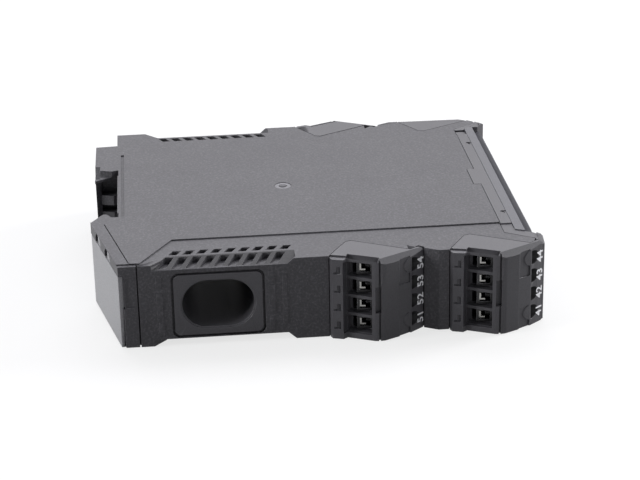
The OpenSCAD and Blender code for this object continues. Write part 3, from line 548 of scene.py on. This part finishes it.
def node_tree(name, **inputs):
    """Geometry tree with named inputs, and the two ends it starts and finishes at."""
    tree = bpy.data.node_groups.new(name, "GeometryNodeTree")
    tree.interface.new_socket("Geometry", in_out="INPUT", socket_type="NodeSocketGeometry")
    for label, kind in inputs.items():
        tree.interface.new_socket(label.replace("_", " "), in_out="INPUT", socket_type="NodeSocket" + kind)
    tree.interface.new_socket("Geometry", in_out="OUTPUT", socket_type="NodeSocketGeometry")
    return tree, tree.nodes.new("NodeGroupInput").outputs, tree.nodes.new("NodeGroupOutput").inputs[0]


def close_tree(tree, geometry, material, out, other=None, mark=None):
    """Realize Instances and Set Material at the end of a tree, with another material where a mark is true."""
    real = add(tree, "GeometryNodeRealizeInstances", {0: geometry})
    painted = add(tree, "GeometryNodeSetMaterial", {"Geometry": real.outputs[0], "Material": material})
    if mark:
        where = add(tree, "GeometryNodeInputNamedAttribute", {"Name": mark}, data_type="BOOLEAN")
        painted = add(tree, "GeometryNodeSetMaterial", {"Geometry": painted.outputs[0], "Material": other,
                                                        "Selection": where.outputs["Attribute"]})
    tree.links.new(painted.outputs[0], out)
    return tree


def run_tree(tree, name, points=(), **values):
    """The tree's result, on an object whose vertices are the points it starts from."""
    mesh = bpy.data.meshes.new(name)
    mesh.from_pydata([tuple(p) for p in points], [], [])
    obj = new_object(name, mesh)
    mod = obj.modifiers.new("Build", "NODES")
    ids = {s.name: s.identifier for s in tree.interface.items_tree if s.in_out == "INPUT"}
    mod.node_group = tree
    for label, value in values.items():
        mod[ids[label.replace("_", " ")]] = value
    frozen(obj).data.materials.pop(index=0)  # the empty slot that a tree leaves first
    return obj


def winding_tree():
    """Turns of wire side by side round a limb."""
    tree, gi, out = node_tree("Winding", Width="Float", Depth="Float", Corner="Float", Turns="Int", Pitch="Float",
                              Wire_radius="Float", Material="Material")
    ring = add(tree, "GeometryNodeCurvePrimitiveQuadrilateral", {"Width": gi["Width"], "Height": gi["Depth"]})
    soft = add(tree, "GeometryNodeFilletCurve", {"Curve": ring.outputs[0], "Radius": gi["Corner"], "Count": 5},
               mode="POLY")
    wire = add(tree, "GeometryNodeCurvePrimitiveCircle", {"Resolution": 8, "Radius": gi["Wire radius"]})
    turn = add(tree, "GeometryNodeCurveToMesh", {"Curve": soft.outputs[0], "Profile Curve": wire.outputs[0]})
    smooth = add(tree, "GeometryNodeSetShadeSmooth", {"Geometry": turn.outputs[0]})
    step = add(tree, "ShaderNodeCombineXYZ", {"Z": gi["Pitch"]})
    line = add(tree, "GeometryNodeMeshLine", {"Count": gi["Turns"], "Offset": step.outputs[0]})
    turns = add(tree, "GeometryNodeInstanceOnPoints", {"Points": line.outputs[0], "Instance": smooth.outputs[0]})
    return close_tree(tree, turns.outputs[0], gi["Material"], out)


def thread_tree():
    """A screw's thread at each point, wound along local Z."""
    tree, gi, out = node_tree("Thread", Radius="Float", Pitch="Float", Turns="Float", Height="Float",
                              Turned="Rotation", Material="Material")
    spiral = add(tree, "GeometryNodeCurveSpiral", {"Resolution": 20, "Rotations": gi["Turns"],
                                                  "Start Radius": gi["Radius"], "End Radius": gi["Radius"],
                                                  "Height": gi["Height"]})
    crest = add(tree, "GeometryNodeCurvePrimitiveCircle", {"Resolution": 4, "Radius": gi["Pitch"]})
    sweep = add(tree, "GeometryNodeCurveToMesh", {"Curve": spiral.outputs[0], "Profile Curve": crest.outputs[0],
                                                  "Fill Caps": True})
    each = add(tree, "GeometryNodeInstanceOnPoints", {"Points": gi["Geometry"], "Instance": sweep.outputs[0],
                                                      "Rotation": gi["Turned"]})
    return close_tree(tree, each.outputs[0], gi["Material"], out)


def fillet_tree():
    """A solder fillet at each point: a cone with a hollow flank round the leg."""
    tree, gi, out = node_tree("Solder fillet", Foot="Float", Tip="Float", Height="Float", Hollow="Float",
                              Material="Material")
    cone = add(tree, "GeometryNodeMeshCone", {"Vertices": 14, "Side Segments": 5, "Fill Segments": 1,
                                              "Radius Top": gi["Tip"], "Radius Bottom": gi["Foot"],
                                              "Depth": gi["Height"]})
    pos = add(tree, "GeometryNodeInputPosition")
    z = add(tree, "ShaderNodeSeparateXYZ", {0: pos.outputs[0]}).outputs[2]
    bow = math_node(tree, "SINE", math_node(tree, "MULTIPLY", math_node(tree, "DIVIDE", z, gi["Height"]), math.pi))
    waist = math_node(tree, "SUBTRACT", 1.0, math_node(tree, "MULTIPLY", bow, gi["Hollow"]))
    squeeze = add(tree, "ShaderNodeCombineXYZ", {"X": waist, "Y": waist, "Z": 1.0})
    moved = add(tree, "ShaderNodeVectorMath", {0: pos.outputs[0], 1: squeeze.outputs[0]}, operation="MULTIPLY")
    flank = add(tree, "GeometryNodeSetPosition", {"Geometry": cone.outputs[0], "Position": moved.outputs[0]})
    smooth = add(tree, "GeometryNodeSetShadeSmooth", {"Geometry": flank.outputs[0]})
    each = add(tree, "GeometryNodeInstanceOnPoints", {"Points": gi["Geometry"], "Instance": smooth.outputs[0]})
    return close_tree(tree, each.outputs[0], gi["Material"], out)


# Board part: size of its ends over its body's, their place as a share of its length, and the share that lies across
END_GROW, END_AT, TURNED_SHARE = 1.08, 0.46, 0.35


def parts_tree():
    """Small two-ended parts on a board: a body between two tinned ends at each point, some left out at random."""
    tree, gi, out = node_tree("Board parts", Length="Float", Width="Float", Height="Float", Share="Float", Seed="Int",
                              Cap_share="Float", Material="Material", End_material="Material")
    body_size = add(tree, "ShaderNodeCombineXYZ", {"X": gi["Length"], "Y": gi["Width"], "Z": gi["Height"]})
    body = add(tree, "GeometryNodeMeshCube", {"Size": body_size.outputs[0]})
    end_size = add(tree, "ShaderNodeCombineXYZ", {"X": math_node(tree, "MULTIPLY", gi["Length"], gi["Cap share"]),
                                                  "Y": math_node(tree, "MULTIPLY", gi["Width"], END_GROW),
                                                  "Z": math_node(tree, "MULTIPLY", gi["Height"], END_GROW)})
    end = add(tree, "GeometryNodeMeshCube", {"Size": end_size.outputs[0]})
    end = add(tree, "GeometryNodeStoreNamedAttribute", {"Geometry": end.outputs[0], "Name": "end", "Value": True},
              data_type="BOOLEAN", domain="FACE")
    shift = math_node(tree, "MULTIPLY", gi["Length"], END_AT)
    joined = add(tree, "GeometryNodeJoinGeometry")
    tree.links.new(body.outputs[0], joined.inputs[0])
    for side in (1.0, -1.0):
        off = add(tree, "ShaderNodeCombineXYZ", {"X": math_node(tree, "MULTIPLY", shift, side)})
        moved = add(tree, "GeometryNodeTransform", {"Geometry": end.outputs[0], "Translation": off.outputs[0]})
        tree.links.new(moved.outputs[0], joined.inputs[0])
    up = add(tree, "ShaderNodeCombineXYZ", {"Z": math_node(tree, "MULTIPLY", gi["Height"], 0.5)})
    raised = add(tree, "GeometryNodeTransform", {"Geometry": joined.outputs[0], "Translation": up.outputs[0]})
    chosen = add(tree, "FunctionNodeRandomValue", {"Probability": gi["Share"], "Seed": gi["Seed"]},
                 data_type="BOOLEAN")
    turned = add(tree, "FunctionNodeRandomValue", {"Probability": TURNED_SHARE, "Seed": gi["Seed"], "ID": 7},
                 data_type="BOOLEAN")
    quarter = add(tree, "ShaderNodeCombineXYZ", {"Z": math_node(tree, "MULTIPLY", turned.outputs[3], math.pi / 2)})
    each = add(tree, "GeometryNodeInstanceOnPoints", {"Points": gi["Geometry"], "Selection": chosen.outputs[3],
                                                      "Instance": raised.outputs[0], "Rotation": quarter.outputs[0]})
    return close_tree(tree, each.outputs[0], gi["Material"], out, gi["End material"], "end")


# Pieces

class TRANSDUCER_OT_finishes(bpy.types.Operator):
    """Builds the finishes and puts each on the nodes of its slot"""
    bl_idname = "transducer.finishes"
    bl_label = "Finishes"

    def execute(self, context):
        FINISH.update(build_finishes())
        for node, slot in SLOTS.items():
            dress(NODES[node], slot)
        return {"FINISHED"}


# Clamp screw, in mm: a point on its axis, from the start of a bay, and its slant; then along the axis where its
# thread starts and ends and its head lies, and the radii of its shank and of the screwdriver hole over it
CLAMP = (9.6, 1.7)
SCREW_SLANT = math.radians(-9)
THREAD_FROM, THREAD_TO, HEAD_AT = 0.4, 4.9, 5.0
SHANK_R, DRIVER_R = 1.1, 1.85
ALONG, ACROSS = 0.1, 0.06  # mm: how far a face of the hole may lie off these, along the axis and across it


def mark_bores(mesh, plug):
    """Paints shade on the walls and the floors of the screwdriver holes, with the mesh's second finish."""
    axis = Vector((math.cos(SCREW_SLANT), math.sin(SCREW_SLANT) * PLUGS[plug], 0))
    starts = [on_bay(plug, *CLAMP, pole_height(k)) for k in range(POLES)]
    for face in mesh.polygons:
        for start in starts:
            way = face.center - start
            along = way.dot(axis)
            radial = way - axis * along
            if along < (HEAD_AT - ALONG) * MM or radial.length > (DRIVER_R + ACROSS) * MM:
                continue
            wall = face.normal.dot(radial.normalized()) < -0.3
            floor = face.normal.dot(axis) > 0.9 and along < (HEAD_AT + 4 * ALONG) * MM
            if wall or floor:
                face.material_index = 1


# Vents' slopes, from the rail side and inwards from either narrow face, and the round mould mark with its smooth ring
# (radius and height over its floor), from the rail side and the near face; in mm
VENTS_X, VENTS_Y = (12.0, 50.0), (0.3, 7.0)
MARK_AT, MARK_R, MARK_DEEP = (52.1, 50.0), 2.3, 0.15
RING = ((1.15, 0.02), (1.22, 0.07), (2.05, 0.07), (2.22, 0.02))
RING_SIDES = 48


def mark_housing(mesh):
    """Paints shade on the slopes of the vents with the second finish, and on the floor of the mould mark with the
    third.
    """
    mark = spot(*MARK_AT, CAD_BOX[1].z / MM - MARK_DEEP)
    for face in mesh.polygons:
        x, y = (face.center.x - RAIL_SIDE) / MM, (-NEAR_FACE - abs(face.center.y)) / MM
        slope = 0.2 < face.normal.z < 0.985
        if slope and VENTS_X[0] < x < VENTS_X[1] and VENTS_Y[0] < y < VENTS_Y[1]:
            face.material_index = 1
        if (face.center - mark).length < MARK_R * MM and abs(face.center.z - mark.z) < 0.02 * MM:
            face.material_index = 2


# Node: its moulding, the share of the edge radius that it takes, its body, and the finishes that paint shade on its
# recesses
MOULDINGS = {
    "housing": ("housing_shell", 1.0, "body", "vent_slope_shade", "recess_shade"),
    "front_frame": ("frame_moulding", 0.9, "body"),
    "front_cover": ("cover_moulding", 1.1, "cover"),
    "foot_plate": ("plate_moulding", 0.8, "body"),
    "window_sleeve": ("bezel_moulding", 1.0, "body"),
    "window_cap": ("ring_moulding", 1.0, "body"),
    "bay_cover": ("blank_moulding", 1.0, "body"),
    "plug_41": ("plug_moulding_41", 1.0, "body", "recess_shade"),
    "plug_51": ("plug_moulding_51", 1.0, "body", "recess_shade"),
    "plug_11": ("plug_moulding_11", 1.0, "body", "recess_shade"),
}


class TRANSDUCER_OT_mouldings(bpy.types.Operator):
    """Gives each outer moulding the rounded edges of a moulded piece"""
    bl_idname = "transducer.mouldings"
    bl_label = "Mouldings"

    def execute(self, context):
        for node, (name, share, body, *recesses) in MOULDINGS.items():
            piece = round_edges(node, name, sizes().edge * share)
            settle(piece, body, SLOTS[node], SLOTS[node], *recesses)
            if node.startswith("plug"):
                mark_bores(piece.data, node[-2:])
            if node == "housing":
                mark_housing(piece.data)
        return {"FINISHED"}


# Facet with the numbers, in mm from the start of a bay, and where the numbers lie along it and off a pole's centre
FACET = ((21.0, -0.5), (24.5, 2.4))
NUMBER_X, NUMBER_DOWN = 23.75, 0.5
# Print: its lift and thickness, how much bolder it is than the font (all in mm), its stretch across, the space
# between digits, and a digit's height as a share of the font's size
NUMBER_LIFT, NUMBER_DEPTH, NUMBER_BOLD = 0.012, 0.01, 0.06
NUMBER_STRETCH, NUMBER_SPACE, DIGIT_SHARE = 1.06, 1.04, 0.73


def number_mesh(text):
    """Mesh of a number, flat in XY and centred."""
    curve = bpy.data.curves.new("digits", "FONT")
    curve.body = text
    curve.size = sizes().number_h / DIGIT_SHARE
    curve.align_x, curve.align_y = "CENTER", "CENTER"
    curve.space_character = NUMBER_SPACE
    curve.extrude, curve.offset = NUMBER_DEPTH * MM, NUMBER_BOLD * MM
    curve.resolution_u = 4
    obj = new_object("digits", curve)
    mesh = bpy.data.meshes.new_from_object(obj.evaluated_get(bpy.context.evaluated_depsgraph_get()))
    bpy.data.objects.remove(obj)
    return mesh


class TRANSDUCER_OT_numbers(bpy.types.Operator):
    """Prints the pole numbers on the end facet of each plug"""
    bl_idname = "transducer.numbers"
    bl_label = "Pole numbers"

    def execute(self, context):
        (x0, y0), (x1, y1) = FACET
        along = Vector((x1 - x0, y1 - y0, 0)).normalized()
        y = y0 + (NUMBER_X - x0) * (y1 - y0) / (x1 - x0)
        wide = Matrix.Scale(NUMBER_STRETCH, 4, (1, 0, 0))
        for plug, side in PLUGS.items():
            read, up = Vector((0, 0, side)), Vector((-along.x, -along.y * side, 0))
            out = read.cross(up)
            turn = Matrix((read, up, out)).transposed().to_4x4() @ wide
            merged = bmesh.new()
            for k in range(POLES):
                number = number_mesh(f"{int(plug) + k}")
                at = on_bay(plug, NUMBER_X, y, pole_height(k) - NUMBER_DOWN) + out * NUMBER_LIFT * MM
                number.transform(Matrix.Translation(at) @ turn)
                merged.from_mesh(number)
                bpy.data.meshes.remove(number)
            mesh = bpy.data.meshes.new(f"numbers_{plug}")
            merged.to_mesh(mesh)
            merged.free()
            settle(new_object(f"numbers_{plug}", mesh), "body", "white_plastic", "print")
        return {"FINISHED"}


class TRANSDUCER_OT_mould_mark(bpy.types.Operator):
    """Lays the smooth ring into the mould mark on the housing, lighter than the housing as painted sheen."""
    bl_idname = "transducer.mould_mark"
    bl_label = "Mould mark"

    def execute(self, context):
        at = spot(*MARK_AT, CAD_BOX[1].z / MM - MARK_DEEP)
        angles = [2 * math.pi * i / RING_SIDES for i in range(RING_SIDES)]
        bm = bmesh.new()
        rings = [[bm.verts.new(at + Vector((r * math.cos(a), r * math.sin(a), lift)) * MM) for a in angles]
                 for r, lift in RING]
        for inner, outer in zip(rings, rings[1:]):
            for i in range(RING_SIDES):
                j = (i + 1) % RING_SIDES
                bm.faces.new((inner[i], outer[i], outer[j], inner[j])).smooth = True
        mesh = bpy.data.meshes.new("mould_ring")
        bm.to_mesh(mesh)
        bm.free()
        settle(new_object("mould_ring", mesh), "body", "smooth_plastic", "ring_sheen")
        return {"FINISHED"}


COIL_CORNER = 1.6  # mm, radius of the turns at the corners of the limb


class TRANSDUCER_OT_winding(bpy.types.Operator):
    """Lays the outer turns of enamelled wire on the coil"""
    bl_idname = "transducer.winding"
    bl_label = "Winding"

    def execute(self, context):
        low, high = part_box("coil_winding")
        size, r, n = high - low, sizes().wire_d / 2, sizes().turns
        pitch = (size.z - 2 * r) / (n - 1)
        piece = run_tree(winding_tree(), "winding_turns", Width=size.x, Depth=size.y, Corner=COIL_CORNER * MM,
                         Turns=n, Pitch=pitch, Wire_radius=min(r, pitch / 2), Material=FINISH["copper_wire"])
        piece.data.transform(Matrix.Translation(((low.x + high.x) / 2, (low.y + high.y) / 2, low.z + r)))
        settle(piece, "body", "copper_wire")
        return {"FINISHED"}


THREAD_SUNK = 0.04  # mm, how far the thread's centre line lies inside the shank
CREST_SHARE = 0.36  # of the pitch: radius of the thread's section


class TRANSDUCER_OT_threads(bpy.types.Operator):
    """Cuts a thread on the clamp screws of each plug"""
    bl_idname = "transducer.threads"
    bl_label = "Screw threads"

    def execute(self, context):
        tree = thread_tree()
        pitch, length = sizes().thread_pitch, (THREAD_TO - THREAD_FROM) * MM
        x, y = CLAMP[0] + THREAD_FROM * math.cos(SCREW_SLANT), CLAMP[1] + THREAD_FROM * math.sin(SCREW_SLANT)
        for plug, side in PLUGS.items():
            points = [on_bay(plug, x, y, pole_height(k)) for k in range(POLES)]
            turned = (Matrix.Rotation(SCREW_SLANT * side, 3, "Z") @ Matrix.Rotation(math.pi / 2, 3, "Y")).to_euler()
            piece = run_tree(tree, f"threads_{plug}", points, Radius=(SHANK_R - THREAD_SUNK) * MM,
                             Pitch=pitch * CREST_SHARE, Turns=length / pitch, Height=length, Turned=turned,
                             Material=FINISH["zinc_steel"])
            settle(piece, "body", "zinc_steel")
        return {"FINISHED"}


# Free strips of the main board: name, start from the rail side and the near face in mm, columns, rows and their step
STRIPS = (("parts_left", 48.0, 37.0, 3, 9, 3.0), ("parts_near", 61.5, 31.5, 6, 3, 2.9),
          ("parts_far", 61.5, 61.5, 6, 3, 2.9), ("parts_front", 99.4, 27.0, 1, 17, 2.9))
# Board part: its size in mm, the share of places that are filled, an end's share of its length, and the first seed
PART_SIZE, PART_SHARE, PART_END, PART_SEED = (2.0, 1.25, 0.6), 0.82, 0.2, 11
# Header: mating point in mm from the start of a bay, the plug's axis, and the first leg and pitch of the legs
MATE, PLUG_AXIS = (12.5, 6.35), math.radians(61.4)
FIRST_LEG, LEG_PITCH = 3.9, 1.3
# Solder fillet: radius of its foot and tip and its height in mm, and the share by which its flank bows in
SOLDER_FOOT, SOLDER_TIP, SOLDER_H, SOLDER_HOLLOW = 0.85, 0.1, 0.8, 0.35


def leg_of(k):
    """Place of a header's leg in mm from the start of its bay."""
    d = FIRST_LEG + k * LEG_PITCH
    return MATE[0] + d * math.cos(PLUG_AXIS), MATE[1] + d * math.sin(PLUG_AXIS)


class TRANSDUCER_OT_board_parts(bpy.types.Operator):
    """Small parts and solder on the main board"""
    bl_idname = "transducer.board_parts"
    bl_label = "Board parts"

    def execute(self, context):
        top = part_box("main_board")[1].z / MM
        length, width, height = PART_SIZE
        tree = parts_tree()
        for i, (name, x, y, columns, rows, step) in enumerate(STRIPS):
            points = [spot(x + a * step, y + b * step, top) for a in range(columns) for b in range(rows)]
            piece = run_tree(tree, name, points, Length=length * MM, Width=width * MM, Height=height * MM,
                             Share=PART_SHARE, Cap_share=PART_END, Seed=PART_SEED + i,
                             Material=FINISH["black_plastic" if i % 2 else "ceramic"], End_material=FINISH["solder"])
            settle(piece, "body", "black_plastic")
        tree = fillet_tree()
        for plug in PLUGS:
            legs = [on_bay(plug, *leg_of(k), top) for k in range(POLES)]
            piece = run_tree(tree, f"solder_{plug}", legs, Foot=SOLDER_FOOT * MM, Tip=SOLDER_TIP * MM,
                             Height=SOLDER_H * MM, Hollow=SOLDER_HOLLOW, Material=FINISH["solder"])
            settle(piece, "body", "tinned_brass")
        return {"FINISHED"}


# The photograph's camera, fitted to the object's outline
CAMERA_AT = (-0.0389223, -0.4878226, 0.2098981)
CAMERA_RIGHT = (0.99513265, -0.09679514, -0.0184854)
CAMERA_UP = (0.05420866, 0.38104621, 0.92296544)
CAMERA_BACK = (-0.08229478, -0.91947511, 0.38443866)
LENS, SENSOR = 107.70, 36.0
FLOOR_R, FLOOR_DROP = 3.0, 0.0002  # m: the floor's radius, and how far it lies below the object
# Lamps: name, place, size, power and colour; each aims at the origin
LAMPS = (
    ("back", (0.05, 0.75, 0.9), (1.2, 0.8), 8.3, (0.95, 0.935, 1.0)),
    ("left", (-1.0, -0.22, 0.35), (0.3, 0.4), 6.4, (1, 1, 1)),
    ("right", (1.1, 0.3, 0.5), (0.5, 0.5), 13.0, (1, 1, 1)),
    ("front", (0.5, -1.2, 0.4), (0.4, 0.3), 2.3, (1, 1, 1)),
)
# Light tent: its colour, and its strength at the back and top and at its open front
TENT, TENT_BACK, TENT_FRONT = (0.93, 0.95, 1.0), 0.7, 0.1


def area_light(name, at, size, power, colour):
    data = bpy.data.lights.new(name, "AREA")
    data.shape, data.size, data.size_y = "RECTANGLE", *size
    data.energy, data.color = power, colour
    lamp = new_object(name, data)
    lamp.location = at
    lamp.rotation_euler = (-Vector(at)).to_track_quat("-Z", "Y").to_euler()
    lamp.visible_camera = False


class TRANSDUCER_OT_stage(bpy.types.Operator):
    """Floor, backdrop light, soft lamps and the photograph's camera"""
    bl_idname = "transducer.stage"
    bl_label = "Stage"

    def execute(self, context):
        scene = context.scene
        data = bpy.data.cameras.new("camera")
        data.sensor_width, data.lens = SENSOR, LENS
        data.clip_start, data.clip_end = 0.01, 20.0
        camera = new_object("camera", data)
        turn = Matrix((CAMERA_RIGHT, CAMERA_UP, CAMERA_BACK)).transposed().to_4x4()
        camera.matrix_world = Matrix.Translation(CAMERA_AT) @ turn
        scene.camera = camera
        scene.view_settings.view_transform = "Standard"

        bm = bmesh.new()
        bmesh.ops.create_circle(bm, cap_ends=True, radius=FLOOR_R, segments=64)
        mesh = bpy.data.meshes.new("floor")
        bm.to_mesh(mesh)
        bm.free()
        floor = new_object("floor", mesh)
        floor.location.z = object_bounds()[0].z - FLOOR_DROP
        floor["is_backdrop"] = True
        floor.data.materials.append(white_floor())

        scene.world = light_tent()
        for lamp in LAMPS:
            area_light(*lamp)
        return {"FINISHED"}


def seen_share(tree, mirrored):
    """1 for what the camera sees, directly or through glass, and the given share for what a surface mirrors."""
    path = add(tree, "ShaderNodeLightPath").outputs
    direct = math_node(tree, "MAXIMUM", path["Is Camera Ray"], path["Is Transmission Ray"])
    return math_node(tree, "MAXIMUM", direct, math_node(tree, "MULTIPLY", path["Is Glossy Ray"], mirrored))


def light_tent():
    """White behind the object for the camera, and for the light a tent, bright at its back and dim at its front."""
    world = bpy.data.worlds.new("tent")
    world.use_nodes = True
    tree = world.node_tree
    lit = tree.nodes["Background"]
    lit.inputs["Color"].default_value = (*TENT, 1)
    way = add(tree, "ShaderNodeSeparateXYZ", {0: add(tree, "ShaderNodeTexCoord").outputs["Generated"]})
    back = math_node(tree, "ADD", math_node(tree, "MULTIPLY", way.outputs["Y"], 0.8),
                     math_node(tree, "MULTIPLY", way.outputs["Z"], 0.5))
    tree.links.new(ramp(tree, back, -0.25, 0.6, TENT_FRONT, TENT_BACK), lit.inputs["Strength"])
    white = add(tree, "ShaderNodeBackground", {"Color": (1, 1, 1, 1), "Strength": 1.0})
    shown = add(tree, "ShaderNodeMixShader", {0: seen_share(tree, ramp(tree, back, 0.1, 0.9)), 1: lit.outputs[0],
                                              2: white.outputs[0]})
    tree.links.new(shown.outputs[0], tree.nodes["World Output"].inputs["Surface"])
    return world


def white_floor():
    """White paper that keeps a light shadow and throws little light back at the object."""
    mat, tree, shader = new_material("White paper", Roughness=0.9)
    pos = add(tree, "ShaderNodeTexCoord").outputs["Object"]
    tone = noise(tree, pos, 9.0, 3.0).outputs[0]
    tree.links.new(mixed(tree, tone, (0.22, 0.22, 0.22), (0.25, 0.25, 0.25)), shader.inputs["Base Color"])
    paper = add(tree, "ShaderNodeBsdfDiffuse", {"Color": (0.9, 0.9, 0.9, 1)})
    glow = add(tree, "ShaderNodeEmission", {"Color": (1, 1, 1, 1), "Strength": 1.0})
    lit = add(tree, "ShaderNodeMixShader", {0: 0.72, 1: paper.outputs[0], 2: glow.outputs[0]})
    y = add(tree, "ShaderNodeSeparateXYZ", {0: pos}).outputs["Y"]
    share = seen_share(tree, ramp(tree, y, -0.056, -0.03, 0.25, 1.0))  # dimmer in front of the object
    seen = add(tree, "ShaderNodeMixShader", {0: share, 1: shader.outputs[0], 2: lit.outputs[0]})
    tree.links.new(seen.outputs[0], tree.nodes["Material Output"].inputs["Surface"])
    return mat


class TRANSDUCER_PT_panel(bpy.types.Panel):
    """Sizes, colours and steps of the transducer"""
    bl_idname = "TRANSDUCER_PT_panel"
    bl_label = "Current transducer"
    bl_space_type = "VIEW_3D"
    bl_region_type = "UI"
    bl_category = "Transducer"

    def draw(self, context):
        for group_of in (context.scene.transducer_sizes, context.scene.transducer_colours):
            box = self.layout.box()
            for key in group_of.__annotations__:
                box.prop(group_of, key)
        for step in STEPS:
            self.layout.operator(step.bl_idname)


STEPS = (TRANSDUCER_OT_finishes, TRANSDUCER_OT_mouldings, TRANSDUCER_OT_numbers, TRANSDUCER_OT_mould_mark,
         TRANSDUCER_OT_winding, TRANSDUCER_OT_threads, TRANSDUCER_OT_board_parts, TRANSDUCER_OT_stage)
CLASSES = (TransducerSizes, TransducerColours, *STEPS, TRANSDUCER_PT_panel)


def register():
    for cls in CLASSES:
        bpy.utils.register_class(cls)
    bpy.types.Scene.transducer_sizes = PointerProperty(type=TransducerSizes)
    bpy.types.Scene.transducer_colours = PointerProperty(type=TransducerColours)


def unregister():
    del bpy.types.Scene.transducer_colours
    del bpy.types.Scene.transducer_sizes
    for cls in reversed(CLASSES):
        bpy.utils.unregister_class(cls)


def main():
    register()
    for step in STEPS:
        getattr(bpy.ops.transducer, step.bl_idname.split(".")[1])()


if __name__ == "__main__":
    main()
